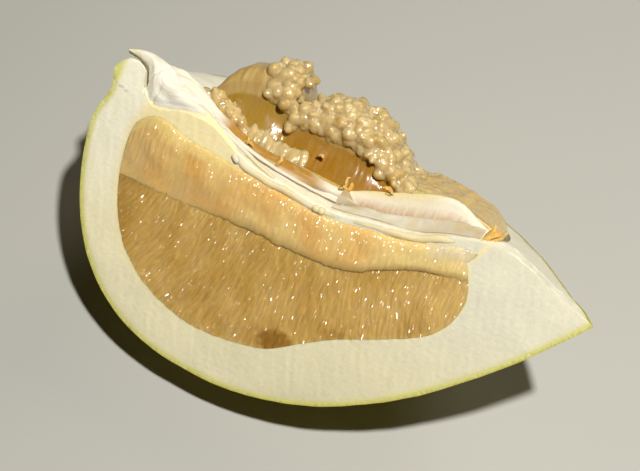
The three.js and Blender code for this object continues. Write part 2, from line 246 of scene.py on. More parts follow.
def rind_radius(x):
    """The rind's outer radius at a place along the fruit."""
    if not -BLOSSOM_LENGTH < x < STEM_LENGTH:
        return 0.0
    if x < 0:
        return BELLY_RADIUS * (1 - (-x / BLOSSOM_LENGTH) ** BLOSSOM_POWER) ** (1 / BLOSSOM_POWER)
    return BELLY_RADIUS * (1 - (x / STEM_LENGTH) ** STEM_POWER)


def rind_outline(blossom_steps, stem_steps):
    """The rind's outline as (x, radius), from the blossom end to the stem end."""
    points = []
    for i in range(blossom_steps):
        angle = i / blossom_steps * math.pi / 2
        radius = BELLY_RADIUS * math.sin(angle) ** (2 / BLOSSOM_POWER)
        dimple = DIMPLE_DEPTH * bell(radius, 0, DIMPLE_RADIUS)
        points.append(Vector((dimple - BLOSSOM_LENGTH * math.cos(angle) ** (2 / BLOSSOM_POWER), radius)))
    for i in range(stem_steps + 1):
        x = STEM_LENGTH * i / stem_steps
        points.append(Vector((x, rind_radius(x) if i < stem_steps else 0.0)))
    return points


def moved_outline(points, distance):
    """The outline moved sideways, outwards if the distance is positive. Its ends stay on the axis."""
    moved = []
    last = len(points) - 1
    for i, point in enumerate(points):
        tangent = points[min(i + 1, last)] - points[max(i - 1, 0)]
        side = Vector((-tangent.y, tangent.x)).normalized()
        if i in (0, last):
            side = Vector((math.copysign(1, side.x), 0))
        moved.append(point + side * distance)
    return moved


def outline_radius(points, x):
    """The widest radius of an outline at a place along the fruit."""
    crossings = [0.0]
    for a, b in zip(points, points[1:]):
        if a.x != b.x and (a.x - x) * (b.x - x) <= 0:
            crossings.append(mix(a.y, b.y, (x - a.x) / (b.x - a.x)))
    return max(crossings)


RIND_TREE = tree_of(rind_outline(90, 160))
PULP_TREE = tree_of(PULP_OUTLINE)


def depth_under_rind(point):
    """How far a point of the wedge lies under the rind's outside."""
    return RIND_TREE.find((point.x, math.hypot(point.y, point.z), 0))[2]


@functools.lru_cache(maxsize=None)
def top_section(x):
    """The upper surface's section at a place along the fruit, as a height for each depth."""
    rows = [(depth, height(x)) for depth, height in CORE_ROWS]
    last_depth, last_height = rows[-1]
    rim = max(rind_radius(x), last_depth + 1)
    over_core = along(*rows)

    def height_at(y):
        if y < last_depth:
            return over_core(y)
        return mix(last_height, RIM_RISE(x), clamp((y - last_depth) / (rim - last_depth)))

    return height_at


# Creases and ridges along the core, as (depth along the fruit, start, end, height, half width).
CORE_CRACK = (along((8, 5.4), (22, 7.0), (30, 8.2)), 7, 30, -1.6, 0.4)
CREASES = [
    (along((-12, 3.4), (14, 2.4)), -10, 14, -0.5, 0.35),
    CORE_CRACK,
    (along((-52, 4), (-35, 7), (-10, 9.0)), -50, -12, 0.6, 0.7),
    (along((-48, 1), (-38, 3.0), (-28, 5.5)), -48, -28, -0.8, 0.5),
    (along((30, 3.2), (52, 2.8), (70, 2.5)), 33, 70, 0.4, 0.4),
]
CREASE_FADE = 4
STUB_GROOVE = -51.0


def along_crease(x, start, end):
    """How much of a crease there is at a place, between its two faded ends."""
    return between(x, start, start + CREASE_FADE, end - CREASE_FADE, end)


def top_height(x, y):
    """The height of the upper surface, with its fibres and creases."""
    near_core = 1 - smooth(y, 9, 14)
    height = top_section(round(x, 3))(y)
    for place, start, end, rise, width in CREASES:
        if start < x < end and abs(y - place(x)) < 3 * width:
            height += rise * bell(y, place(x), width) * along_crease(x, start, end)
    height -= 4.5 * bell(x + 0.25 * y, STUB_GROOVE, 0.9) * (1 - smooth(y, 7, 10))
    torn = bell(x, -42, 10) * near_core
    height += torn * (0.7 * grain(x + 0.8 * y, y, 7, 1.4, 2) + 0.35 * grain(x, y, 2.5, 0.8, 3))
    height += near_core * (0.3 * grain(x, y, 9, 0.8, 4) + 0.2 * grain(x, y, 3, 0.5, 7))
    height += 0.35 * grain(x, y, 11, 9, 5) + 0.12 * grain(x, y, 1.6, 1.6, 6)
    return height


def shelf_height(x, y):
    """The roof over the two front segments: the shelf under the core, then the back membrane's slope."""
    if y < CORE_DEPTH:
        return mix(BAND_TOP(x), SHELF_BACK, clamp(y / CORE_DEPTH))
    return SHELF_BACK - (y - CORE_DEPTH) / BACK_MEMBRANE_SLOPE


# Making and cutting solids


def solid(bm):
    """A working object of the mesh, in millimetres in the wedge's own frame."""
    bmesh.ops.recalc_face_normals(bm, faces=bm.faces)
    mesh = bpy.data.meshes.new("work")
    bm.to_mesh(mesh)
    bm.free()
    work = bpy.data.objects.new("work", mesh)
    bpy.context.scene.collection.objects.link(work)
    return work


def combine(base, *changes):
    """Cuts the base by (operation, solid) pairs in turn, and removes those solids."""
    for operation, other in changes:
        change = base.modifiers.new("change", "BOOLEAN")
        change.solver = "MANIFOLD"
        change.operation = operation
        change.object = other
    bpy.context.view_layer.update()
    evaluated = base.evaluated_get(bpy.context.evaluated_depsgraph_get())
    made = bpy.data.meshes.new_from_object(evaluated)
    base.modifiers.clear()
    base.data = made
    for _, other in changes:
        bpy.data.objects.remove(other)
    return base


def merge_softly(work, grid_size):
    """Melts overlapping closed shapes into one skin."""
    change = work.modifiers.new("merge", "REMESH")
    change.mode = "VOXEL"
    change.voxel_size = grid_size
    bpy.context.view_layer.update()
    evaluated = work.evaluated_get(bpy.context.evaluated_depsgraph_get())
    made = bpy.data.meshes.new_from_object(evaluated)
    work.modifiers.clear()
    work.data = made
    return work


def turned(outline, steps, wobble=0.0):
    """A solid turned round the fruit's axis, and swollen a little unevenly by the wobble in millimetres."""
    bm = bmesh.new()
    verts = [bm.verts.new((x, radius, 0)) for x, radius in outline]
    edges = [bm.edges.new(pair) for pair in zip(verts, verts[1:])]
    bmesh.ops.spin(
        bm, geom=verts + edges, cent=(0, 0, 0), axis=(1, 0, 0), angle=2 * math.pi, steps=steps, use_merge=True
    )
    bmesh.ops.remove_doubles(bm, verts=bm.verts, dist=0.001)
    for vert in bm.verts:
        radius = math.hypot(vert.co.y, vert.co.z)
        if wobble and radius > 1:
            swell = wobble * (noise.noise(vert.co / 14) + 0.4 * noise.noise(vert.co / 5))
            vert.co.yz = vert.co.yz * (1 + swell / radius)
    return bm


def flattened(bm, inset):
    """Presses the belly flat where the fruit lies on the table."""
    cut = bmesh.ops.bisect_plane(
        bm,
        geom=list(bm.verts) + list(bm.edges) + list(bm.faces),
        plane_co=DOWN * (BELLY_RADIUS - FLAT_DEPTH - inset),
        plane_no=DOWN,
        clear_outer=True,
    )
    rim = [item for item in cut["geom_cut"] if isinstance(item, bmesh.types.BMEdge)]
    bmesh.ops.edgeloop_fill(bm, edges=rim)
    return bm


def relief_block(columns, rows, place, far):
    """A closed block with one finely divided face at place(u, v) and a plain one at far(u, v)."""
    bm = bmesh.new()
    bmesh.ops.create_grid(bm, x_segments=columns, y_segments=rows, size=0.5)
    border = [edge for edge in bm.edges if edge.is_boundary]
    walls = bmesh.ops.extrude_edge_only(bm, edges=border)["geom"]
    back = {item for item in walls if isinstance(item, bmesh.types.BMVert)}
    bmesh.ops.edgeloop_fill(bm, edges=[edge for edge in bm.edges if edge.is_boundary])
    for vert in bm.verts:
        u, v = vert.co.x + 0.5, vert.co.y + 0.5
        vert.co = far(u, v) if vert in back else place(u, v)
    return bm


def prism(outline, low, high):
    """A straight-sided solid over an (x, depth) outline, between two heights."""
    bm = bmesh.new()
    verts = [bm.verts.new((x, radius, low)) for x, radius in outline]
    face = bm.faces.new(verts)
    raised = bmesh.ops.extrude_face_region(bm, geom=[face])["geom"]
    top = [item for item in raised if isinstance(item, bmesh.types.BMVert)]
    bmesh.ops.translate(bm, verts=top, vec=(0, 0, high - low))
    return bm


def behind_back_membrane(moved, top):
    """All that lies behind the second membrane, up to a height."""
    bm = bmesh.new()
    heights = (-FAR, SHELF_BACK, top)
    front = [CORE_DEPTH + max(0, SHELF_BACK - z) * BACK_MEMBRANE_SLOPE + moved for z in heights]
    side = [(y, z) for y, z in zip(front, heights)] + [(3 * FAR, top), (3 * FAR, -FAR)]
    face = bm.faces.new([bm.verts.new((-FAR, y, z)) for y, z in side])
    raised = bmesh.ops.extrude_face_region(bm, geom=[face])["geom"]
    end = [item for item in raised if isinstance(item, bmesh.types.BMVert)]
    bmesh.ops.translate(bm, verts=end, vec=(2 * FAR, 0, 0))
    return bm


def row_depth(share):
    """Depths behind the sliced cut: most rows close together over the core, the rest out to the rind."""
    if share == 0:
        return -FAR
    if share < CORE_SHARE:
        return mix(-2.0, FINE_DEPTH, share / CORE_SHARE)
    return mix(FINE_DEPTH, BELLY_RADIUS + 5, (share - CORE_SHARE) / (1 - CORE_SHARE))


def whole_length(share):
    """A place along the fruit, from just before its blossom end to just past its stem end."""
    return mix(-BLOSSOM_LENGTH - CUT_MARGIN, STEM_LENGTH + CUT_MARGIN, share)


def above_top(columns, rows):
    """The block whose underside cuts the wedge's upper surface."""
    def place(u, v):
        x, y = whole_length(u), row_depth(v)
        return Vector((x, y, top_height(x, y)))

    def far(u, v):
        return Vector((whole_length(u), row_depth(v), FAR))

    return relief_block(columns, rows, place, far)


def face_height(x, z):
    """How far the pith's sliced face stands out, with its faint fibres."""
    radial = 0.12 * grain(x * 0.9 + z * 0.25, z, 1.6, 9, 8)
    return 0.3 * grain(x, z, 16, 13, 7) + radial + 0.08 * grain(x, z, 1.3, 1.3, 9)


def before_front(columns, rows):
    """The block whose far side cuts the wedge's sliced face."""
    def height(v):
        return mix(-BELLY_RADIUS - 4, 20, v)

    def place(u, v):
        x, z = whole_length(u), height(v)
        return Vector((x, -face_height(x, z) * smooth(depth_under_rind(Vector((x, 0, z))), 0.8, 5), z))

    def far(u, v):
        return Vector((whole_length(u), -FAR, height(v)))

    return relief_block(columns, rows, place, far)


def below_shelf(raised):
    """The room of the two front segments: all that lies under their roof, which is raised a little."""
    def spot(u, v):
        return mix(-FAR / 2, FAR / 2 + 10, u), mix(-6, BELLY_RADIUS + 5, v)

    def place(u, v):
        x, y = spot(u, v)
        return Vector((x, y, shelf_height(x, max(y, 0)) + raised))

    def far(u, v):
        return Vector((*spot(u, v), -FAR))

    return relief_block(90, 28, place, far)


# Turning working solids into finished pieces


def linear(red, green, blue):
    """A colour as seen on a screen, from 0 to 255, as the shaders want it."""
    def channel(value):
        value = value / 255
        return value / 12.92 if value <= 0.04045 else ((value + 0.055) / 1.055) ** 2.4
    return Vector((channel(red), channel(green), channel(blue)))


def paint(mesh, tint_at):
    """Gives each vertex the colour tint_at(place, normal), in the wedge's own frame."""
    layer = mesh.color_attributes.new("Tint", "FLOAT_COLOR", "POINT")
    colours = []
    for vert in mesh.vertices:
        tint = tint_at(vert.co, vert.normal)
        colours.extend(tint if len(tint) == 4 else (*tint, 1.0))
    layer.data.foreach_set("color", colours)


def fan(x, z):
    """Where a place lies across the sacs, which fan out from the core."""
    below = clamp((-z - 20) / 45)
    return 25 + (x - 25) * (1 - 0.3 * below)


def lay_flow(mesh):
    """Stores where each vertex lies across and along the sacs, for the pulp's patterns."""
    layer = mesh.attributes.new("Flow", "FLOAT_VECTOR", "POINT")
    flow = [value for vert in mesh.vertices for value in (fan(vert.co.x, vert.co.z), vert.co.y, vert.co.z)]
    layer.data.foreach_set("vector", flow)


def finish_piece(name, work, material, nodes, tint_at=None, sharp=38):
    """Makes a working solid a finished piece of the wedge, in the part's own frame."""
    mesh = work.data
    if tint_at:
        paint(mesh, tint_at)
    lay_flow(mesh)
    mesh.transform(TO_ROW)
    mesh.materials.clear()
    mesh.materials.append(material)
    mesh.shade_smooth()
    mesh.set_sharp_from_angle(angle=math.radians(sharp))
    work.name = name
    mesh.name = name
    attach(work, "root")
    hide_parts(*nodes)
    return work


# Materials

# The wedge's lean, and where a colour mix node keeps its two colours and its result.
LEAN_TURN = (-math.pi / 4, 0, 0)
MIX_COLOURS = (6, 7)
MIX_RESULT = 2


def shader(name, **settings):
    """A new material and its Principled shader, with these values on the shader's own sockets."""
    material = bpy.data.materials.new(name)
    material.use_nodes = True
    principled = material.node_tree.nodes["Principled BSDF"]
    for socket, value in settings.items():
        principled.inputs[socket.replace("_", " ")].default_value = value
    return material, principled


def node(material, kind, settings=(), **inputs):
    """Adds a node, sets its properties, and joins or sets its inputs by name."""
    made = material.node_tree.nodes.new(kind)
    for key, value in dict(settings).items():
        setattr(made, key, value)
    for key, value in inputs.items():
        socket = made.inputs[key.replace("_", " ")]
        if isinstance(value, bpy.types.NodeSocket):
            material.node_tree.links.new(value, socket)
        else:
            socket.default_value = value
    return made


def join(material, output, socket):
    """Link an output to an input socket in the material."""
    material.node_tree.links.new(output, socket)


def mixed(material, first, second, factor=1.0, blend_type="MIX"):
    """The first colour mixed with the second one. Each is a socket or a plain colour."""
    made = node(material, "ShaderNodeMix", {"data_type": "RGBA", "blend_type": blend_type}, Factor=factor)
    for colour, place in zip((first, second), MIX_COLOURS):
        if isinstance(colour, bpy.types.NodeSocket):
            join(material, colour, made.inputs[place])
        else:
            made.inputs[place].default_value = colour
    return made.outputs[MIX_RESULT]


def object_place(material):
    """The place on the piece, in metres."""
    return node(material, "ShaderNodeTexCoord").outputs["Object"]


def leaning_place(material, scale):
    """The place on the piece, turned to the wedge's lean and stretched by the scale."""
    settings = {"vector_type": "TEXTURE"}
    place = object_place(material)
    mapping = node(material, "ShaderNodeMapping", settings, Vector=place, Rotation=LEAN_TURN, Scale=scale)
    return mapping.outputs["Vector"]


def noise_at(material, place, scale, detail=3.0, roughness=0.55):
    """Soft noise from 0 to 1 at a place in the material."""
    made = node(
        material, "ShaderNodeTexNoise", Vector=place, Scale=scale, Detail=detail, Roughness=roughness
    )
    return made.outputs["Fac"]


def ramp(material, factor, *stops):
    """A colour ramp through (place, grey) stops."""
    made = node(material, "ShaderNodeValToRGB", Fac=factor)
    elements = made.color_ramp.elements
    while len(elements) < len(stops):
        elements.new(1.0)
    for element, (place, grey) in zip(elements, stops):
        element.position = place
        element.color = (grey, grey, grey, 1)
    return made.outputs["Color"]


def shade_tint(material, principled, *patterns):
    """Multiplies the painted tint by grey patterns and joins it to the base colour."""
    colour = node(material, "ShaderNodeAttribute", {"attribute_name": "Tint"}).outputs["Color"]
    for pattern in patterns:
        colour = mixed(material, colour, pattern, blend_type="MULTIPLY")
    join(material, colour, principled.inputs["Base Color"])


def bump(material, *layers):
    """The normal after bumps from (height, strength, distance in metres) layers."""
    normal = None
    for height, strength, distance in layers:
        made = node(material, "ShaderNodeBump", Height=height, Strength=strength, Distance=distance)
        if normal:
            join(material, normal, made.inputs["Normal"])
        normal = made.outputs["Normal"]
    return normal


def set_normal(material, principled, normal, coat_normal=None):
    """Bends the surface and its wet coat, which may have a normal of its own."""
    join(material, normal, principled.inputs["Normal"])
    join(material, coat_normal or normal, principled.inputs["Coat Normal"])


def zest_material(colours):
    """Waxy green-yellow rind, mottled, with a pit over each oil gland."""
    material, principled = shader(
        "Zest", Roughness=0.4, IOR=1.45, Subsurface_Weight=0.15, Subsurface_Scale=0.002, Coat_Weight=0.25,
        Coat_Roughness=0.25,
    )
    place = object_place(material)
    mottle = mixed(
        material, (*colours.zest_green, 1), (*colours.zest_yellow, 1), noise_at(material, place, 45, 5)
    )
    glands = node(material, "ShaderNodeTexVoronoi", Vector=place, Scale=520)
    gland_tone = ramp(material, glands.outputs["Distance"], (0.0, 0.8), (0.45, 1.0))
    rind = mixed(material, mottle, gland_tone, 0.6, "MULTIPLY")
    cut = node(material, "ShaderNodeAttribute", {"attribute_name": "Tint"})
    whole = mixed(material, rind, cut.outputs["Color"], cut.outputs["Alpha"])
    join(material, whole, principled.inputs["Base Color"])
    pits = ramp(material, glands.outputs["Distance"], (0.0, 0.0), (0.5, 1.0))
    normal = bump(material, (noise_at(material, place, 160, 3), 0.25, 0.0006), (pits, 0.55, 0.00035))
    set_normal(material, principled, normal)
    return material


def pith_material():
    """Matte, spongy white pith with faint fibres."""
    material, principled = shader(
        "Pith", Roughness=0.72, IOR=1.35, Subsurface_Weight=0.35, Subsurface_Scale=0.0025,
        Subsurface_Radius=(1.0, 0.85, 0.55), Sheen_Weight=0.1,
    )
    place = object_place(material)
    fibres = leaning_place(material, (0.004, 0.0012, 0.0012))
    cloud = ramp(material, noise_at(material, place, 70, 4), (0.3, 0.93), (0.7, 1.0))
    specks = ramp(material, noise_at(material, place, 900, 3), (0.3, 0.94), (0.6, 1.0))
    shade_tint(material, principled, cloud, specks)
    normal = bump(
        material,
        (noise_at(material, place, 500, 5, 0.65), 0.35, 0.0003),
        (noise_at(material, fibres, 1.0, 3), 0.3, 0.00025),
    )
    set_normal(material, principled, normal)
    return material


def squeeze(material, vector, width, length):
    """Coordinates in which a cell of this width and length measures one each way."""
    made = node(material, "ShaderNodeVectorMath", {"operation": "MULTIPLY"})
    join(material, vector, made.inputs[0])
    made.inputs[1].default_value = (1 / width, 1 / length, 1 / length)
    return made.outputs["Vector"]


def facets(material, vector, tilt):
    """A normal that differs from cell to cell, so that some cells mirror the light."""
    cells = node(material, "ShaderNodeTexVoronoi", Vector=vector, Scale=1.0)
    spread = node(material, "ShaderNodeVectorMath", {"operation": "MULTIPLY_ADD"})
    join(material, cells.outputs["Color"], spread.inputs[0])
    spread.inputs[1].default_value = (tilt, tilt, tilt)
    spread.inputs[2].default_value = (-tilt / 2, -tilt / 2, -tilt / 2)
    face = node(material, "ShaderNodeNewGeometry")
    total = node(material, "ShaderNodeVectorMath", {"operation": "ADD"})
    join(material, face.outputs["Normal"], total.inputs[0])
    join(material, spread.outputs["Vector"], total.inputs[1])
    unit = node(material, "ShaderNodeVectorMath", {"operation": "NORMALIZE"})
    join(material, total.outputs["Vector"], unit.inputs[0])
    return unit.outputs["Vector"]


GLINT_WIDTH = 0.3


def flesh_material(name, cell_width, cell_length, contrast, glint_length, glint_tilt):
    """Wet, translucent pulp: long sacs between pale walls, with facets that catch small glints.

    Widths and lengths are in millimetres, because the Flow attribute is."""
    material, principled = shader(
        name, Roughness=0.4, IOR=1.38, Subsurface_Weight=0.85, Subsurface_Scale=0.0016,
        Subsurface_Radius=(1.0, 0.8, 0.4), Coat_Weight=1.0, Coat_Roughness=0.22, Coat_IOR=1.5,
    )
    flow = node(material, "ShaderNodeAttribute", {"attribute_name": "Flow"}).outputs["Vector"]
    warp = node(material, "ShaderNodeTexNoise", Vector=flow, Scale=0.35, Detail=2.0)
    bent = node(material, "ShaderNodeVectorMath", {"operation": "MULTIPLY_ADD"})
    join(material, warp.outputs["Color"], bent.inputs[0])
    bent.inputs[1].default_value = (1.4, 1.4, 2.0)
    join(material, flow, bent.inputs[2])
    cells = squeeze(material, bent.outputs["Vector"], cell_width, cell_length)
    walls = node(
        material, "ShaderNodeTexVoronoi", {"feature": "DISTANCE_TO_EDGE"}, Vector=cells, Scale=1.0
    ).outputs["Distance"]
    domes = node(material, "ShaderNodeTexVoronoi", {"feature": "SMOOTH_F1"}, Vector=cells, Scale=1.0)
    each = node(material, "ShaderNodeTexVoronoi", Vector=cells, Scale=1.0)
    cloud = ramp(material, noise_at(material, flow, 0.12, 4), (0.3, 0.93), (0.7, 1.04))
    shade = ramp(material, each.outputs["Color"], (0.0, 1 - 0.12 * contrast), (1.0, 1 + 0.08 * contrast))
    wall_tone = ramp(
        material, walls, (0.0, 1 + 0.3 * contrast), (0.08, 1 + 0.15 * contrast), (0.22, 1 - 0.05 * contrast)
    )
    shade_tint(material, principled, cloud, shade, wall_tone)
    soft = bump(material, (domes.outputs["Distance"], 0.5 * contrast, -0.0008))
    glints = squeeze(material, bent.outputs["Vector"], GLINT_WIDTH, glint_length)
    set_normal(material, principled, soft, facets(material, glints, glint_tilt))
    return material


def sac_material():
    """A full juice sac: a clear, wet, pale gold drop, with small facets that catch glints."""
    material, principled = shader(
        "Juice sacs", Roughness=0.3, IOR=1.36, Subsurface_Weight=1.0, Subsurface_Scale=0.005,
        Subsurface_Radius=(1.0, 0.85, 0.55), Coat_Weight=1.0, Coat_Roughness=0.15,
    )
    place = object_place(material)
    cloud = ramp(material, noise_at(material, place, 180, 3), (0.3, 0.93), (0.7, 1.04))
    shade_tint(material, principled, cloud)
    soft = bump(material, (noise_at(material, place, 350, 2), 0.2, 0.0006))
    glints = squeeze(material, place, 0.7 * MM, 1.1 * MM)
    set_normal(material, principled, soft, facets(material, glints, 0.7))
    return material


def shred_material():
    """Moist orange membrane."""
    material, principled = shader(
        "Shreds", Roughness=0.35, IOR=1.36, Subsurface_Weight=0.5, Subsurface_Scale=0.001,
        Subsurface_Radius=(1.0, 0.7, 0.35),
    )
    place = object_place(material)
    cloud = ramp(material, noise_at(material, place, 300, 3), (0.3, 0.8), (0.7, 1.05))
    shade_tint(material, principled, cloud)
    return material


def film_material():
    """A thin, moist membrane that lets the pulp show through."""
    material, principled = shader(
        "Film", Roughness=0.35, IOR=1.36, Alpha=0.85, Coat_Weight=0.2, Coat_Roughness=0.2,
    )
    place = object_place(material)
    cloud = ramp(material, noise_at(material, place, 260, 4), (0.3, 0.85), (0.7, 1.0))
    shade_tint(material, principled, cloud)
    set_normal(material, principled, bump(material, (noise_at(material, place, 600, 3), 0.4, 0.0003)))
    return material


# Colours painted on the pieces, as they look on a screen

CREAM = linear(248, 243, 218)
CREAM_DEEP = linear(248, 240, 202)
CORE_WHITE = linear(236, 229, 208)
GREEN_WHITE = linear(226, 220, 140)
LIP_YELLOW = linear(228, 204, 132)
LIP_ORANGE = linear(176, 130, 44)
# Pinkish brown of the pocket's lower wall, darkened further as painted shade for its recess.
POCKET_PINK_AND_SHADE = linear(190, 152, 110)
GREY_FILM = linear(220, 204, 166)
GOLD_DEEP = linear(160, 114, 24)
PULP_GOLD = linear(194, 156, 78)
PULP_PALE = linear(212, 180, 114)
PULP_AMBER = linear(166, 122, 38)
PULP_EDGE = linear(216, 184, 122)
PATCH_BROWN = linear(148, 102, 20)
BAND_ORANGE = linear(224, 178, 102)
BAND_PALE = linear(230, 206, 140)
SAC_PALE = linear(204, 180, 128)
SAC_GOLD = linear(182, 152, 86)
WALL_GOLD = linear(158, 112, 8)
WALL_OLIVE = linear(166, 132, 46)
TAIL_GOLD = linear(210, 182, 122)
# Pale seam colour between juice sacs: partly their pale skins, partly painted light against the shade where
# they meet.
SAC_SEAM_PAINTED_LIGHT = linear(212, 190, 140)
ZEST_CUT = linear(200, 194, 96)
MEMBRANE_YELLOW = linear(252, 235, 178)
FLAP_GREY = linear(190, 164, 116)
STUB_WHITE = linear(252, 248, 224)
STUB_GREEN = linear(228, 226, 118)
FLAP_WHITE = linear(246, 241, 224)
# Painted shade for the hollow in the torn flap.
HOLLOW_PAINTED_SHADE = linear(206, 208, 198)
SHRED_ORANGE = linear(240, 182, 84)
CRACK_BROWN = linear(120, 92, 56)


def pith_tint(place, normal):
    """Green under the zest, then cream with painted shade, with the stub, the core and the yellowish seams
    round the pulp.
    """
    x, y, z = place
    # Deeper, yellower cream lower down for the denser pith near the belly. The line after it is painted
    # shade: the cream darkens towards the stem end, evening out the key light that falls stronger there, and
    # towards the belly, where the face turns down.
    whole = CREAM.lerp(CREAM_DEEP, smooth(-z, 10, 50))
    whole = whole * (1 - 0.15 * smooth(x, -20, 70)) * (1 - 0.1 * smooth(-z, 40, 76))
    tint = GREEN_WHITE.lerp(whole, smooth(depth_under_rind(place), 0.8, 3.2))
    membrane = between(x, -50, -46, -13, -8) * (1 - smooth(y, 1.5, 3.5)) * smooth(z, -9, -6)
    tint = tint.lerp(MEMBRANE_YELLOW, 0.85 * membrane)
    stub = (1 - smooth(x, -54, -50)) * smooth(z, -2, 2)
    tint = tint.lerp(STUB_WHITE, stub)
    tint = tint.lerp(STUB_GREEN, 0.9 * stub * (1 - smooth(x + 0.6 * grain(z, y, 4, 4, 46), -61.6, -59.0)))
    fold = bell(z + 0.25 * (x + 60), 1.4 + 0.3 * grain(x, 0, 2, 2, 47), 0.3) * (1 - smooth(x, -57, -54))
    tint = tint.lerp(CRACK_BROWN, 0.45 * fold)
    if 0.7 < y < 16 and z > -9:
        tint = core_tint(tint, membrane, x, y, z)
    if normal.y < -0.5:
        edge = PULP_TREE.find((x, math.hypot(y, z), 0))[2]
        tint = tint.lerp(MEMBRANE_YELLOW, 0.75 * (1 - smooth(edge, 0.6, 3.4 - 2.0 * smooth(x, -40, -10))))
    return tint


def core_tint(tint, membrane, x, y, z):
    """The white core, with its brown rim, its crack, the pink pocket darkened with painted shade, and the
    gold before the torn wall.
    """
    inner = between(x, -58, -46, 72, 84)
    tint = tint.lerp(CORE_WHITE, inner * (1 - smooth(y, 8, 10)))
    tint = tint.lerp(LIP_YELLOW, inner * bell(y, 0.2, 1.6) * smooth(x, -34, -24) * 0.55)
    rim = between(y, 5.0, 7.0, 10.8, 11.8) * smooth(x, -26, -18) * clamp(1.0 + 0.3 * grain(x, y, 3, 1, 45))
    tint = tint.lerp(LIP_ORANGE, rim * (1 - smooth(x + y, 20, 30)))
    tint = tint.lerp(LIP_YELLOW, 0.8 * bell(y, 9.7, 0.8) * between(x, 10, 20, 50, 62))
    tint = tint.lerp(MEMBRANE_YELLOW, 0.85 * membrane)
    crack, start, end = CORE_CRACK[:3]
    tint = tint.lerp(CRACK_BROWN, 0.8 * bell(y, crack(x), 0.35) * along_crease(x, start, end))
    # Painted shade: the pocket's lower wall is pinkish brown, painted darker still as shade in its recess.
    low, lip = top_section(round(x))(7.0), top_section(round(x))(9.5)
    rise = (z - low) / max(lip - low, 1.0)
    pocket = between(y, 4.4, 5.0, 9.0, 9.4) * (1 - smooth(rise, 0.35, 0.75)) * between(x, 28, 34, 64, 72)
    tint = tint.lerp(POCKET_PINK_AND_SHADE, pocket * clamp(0.85 + 0.8 * grain(x, z, 0.9, 6, 44)))
    tint = tint.lerp(GREY_FILM, 0.5 * bell(y, 2.8, 1.6) * between(x, 26, 32, 66, 74))
    return tint.lerp(GOLD_DEEP, inner * smooth(y, 10.6, 12.2) * between(x, -36, -24, 46, 60))


def zest_tint(place, normal):
    """The cut edge's colour, with how much of it shows as the fourth value."""
    cut = 1 - smooth(place.y, 0.25, 0.6) + smooth(place.z, 2, 6) * (1 - smooth(place.y, 3, 6))
    inner = smooth(depth_under_rind(place), 0.1, 1.0)
    return (*ZEST_CUT.lerp(GREEN_WHITE, inner), clamp(cut * (0.55 + 0.45 * inner)))


# The pieces


def make_zest(sizes, colours):
    """The thin green rind, from which the pith has been cut away inside."""
    outline = rind_outline(46, 74)
    thickness = sizes.zest_thickness
    outside = solid(flattened(turned(outline, 240, sizes.rind_wobble), 0))
    inside = solid(flattened(turned(moved_outline(outline, -thickness), 120), thickness))
    work = combine(
        outside,
        ("DIFFERENCE", inside),
        ("DIFFERENCE", solid(before_front(190, 60))),
        ("DIFFERENCE", solid(above_top(240, 60))),
    )
    return finish_piece("Zest", work, zest_material(colours), ["zest"], zest_tint)


def make_pith(sizes, colours):
    """The white peel with the core, the torn flap and stub at the blossom end, and the pocket."""
    outline = moved_outline(rind_outline(40, 64), 0.1 - sizes.zest_thickness)
    front_room = combine(
        solid(turned(moved_outline(PULP_OUTLINE, HOLLOW_GAP), 180, sizes.pulp_wobble)),
        ("INTERSECT", solid(below_shelf(HOLLOW_GAP))),
    )
    torn_room = combine(
        solid(turned(moved_outline(TORN_OUTLINE, HOLLOW_GAP), 90)),
        ("INTERSECT", solid(behind_back_membrane(0, FAR))),
    )
    work = combine(
        solid(flattened(turned(outline, 120), sizes.zest_thickness)),
        ("DIFFERENCE", solid(before_front(300, 160))),
        ("DIFFERENCE", solid(above_top(330, 90))),
        ("DIFFERENCE", front_room),
        ("DIFFERENCE", torn_room),
    )
    return finish_piece("Pith", work, pith_material(), ["pith"], pith_tint)


STREAK_WIDTH = 1.7
STREAK_LENGTH = 7.5


def sac_streaks(x, z):
    """The sliced pulp's relief: long narrow sacs that fan out from the core to the pith."""
    across = fan(x, z) + 1.2 * grain(x, z, 14, 14, 11)
    cell = noise.voronoi(Vector((across / STREAK_WIDTH, z / STREAK_LENGTH, 0.0)))[0]
    return clamp((cell[1] - cell[0]) * 2.2)


def front_flesh_tint(place, normal):
    """Gold in soft clouds, paler at the stem side and round the edge, with the dark patches."""
    x, y, z = place
    edge = PULP_TREE.find((x, math.hypot(y, z), 0))[2]
    paleness = 0.25 * (1 - sac_streaks(x, z)) + 0.5 * grain(x, z, 7, 12, 13) + 0.15
    tint = PULP_GOLD.lerp(PULP_PALE, clamp(paleness))
    tint = tint.lerp(PULP_PALE, 0.45 * smooth(x, 30, 70))
    tint = tint.lerp(PULP_AMBER, 0.5 * clamp(grain(x, z, 12, 12, 14) + 0.1))
    tint = tint.lerp(PULP_AMBER, 0.5 * (1 - smooth(x, -46, -36)))
    tint = tint.lerp(PULP_EDGE, 0.7 * (1 - smooth(edge, 0.2, 1.6)) * smooth(x, -44, -20))
    for middle_x, middle_z, wide, tall, strength in DARK_PATCHES:
        reach = math.hypot((x - middle_x) / wide, (z - middle_z) / tall)
        fade = 1 - smooth(reach + 0.25 * grain(x, z, 2, 2, 15), 0.7, 1.1)
        tint = tint.lerp(PATCH_BROWN, strength * fade)
    return tint


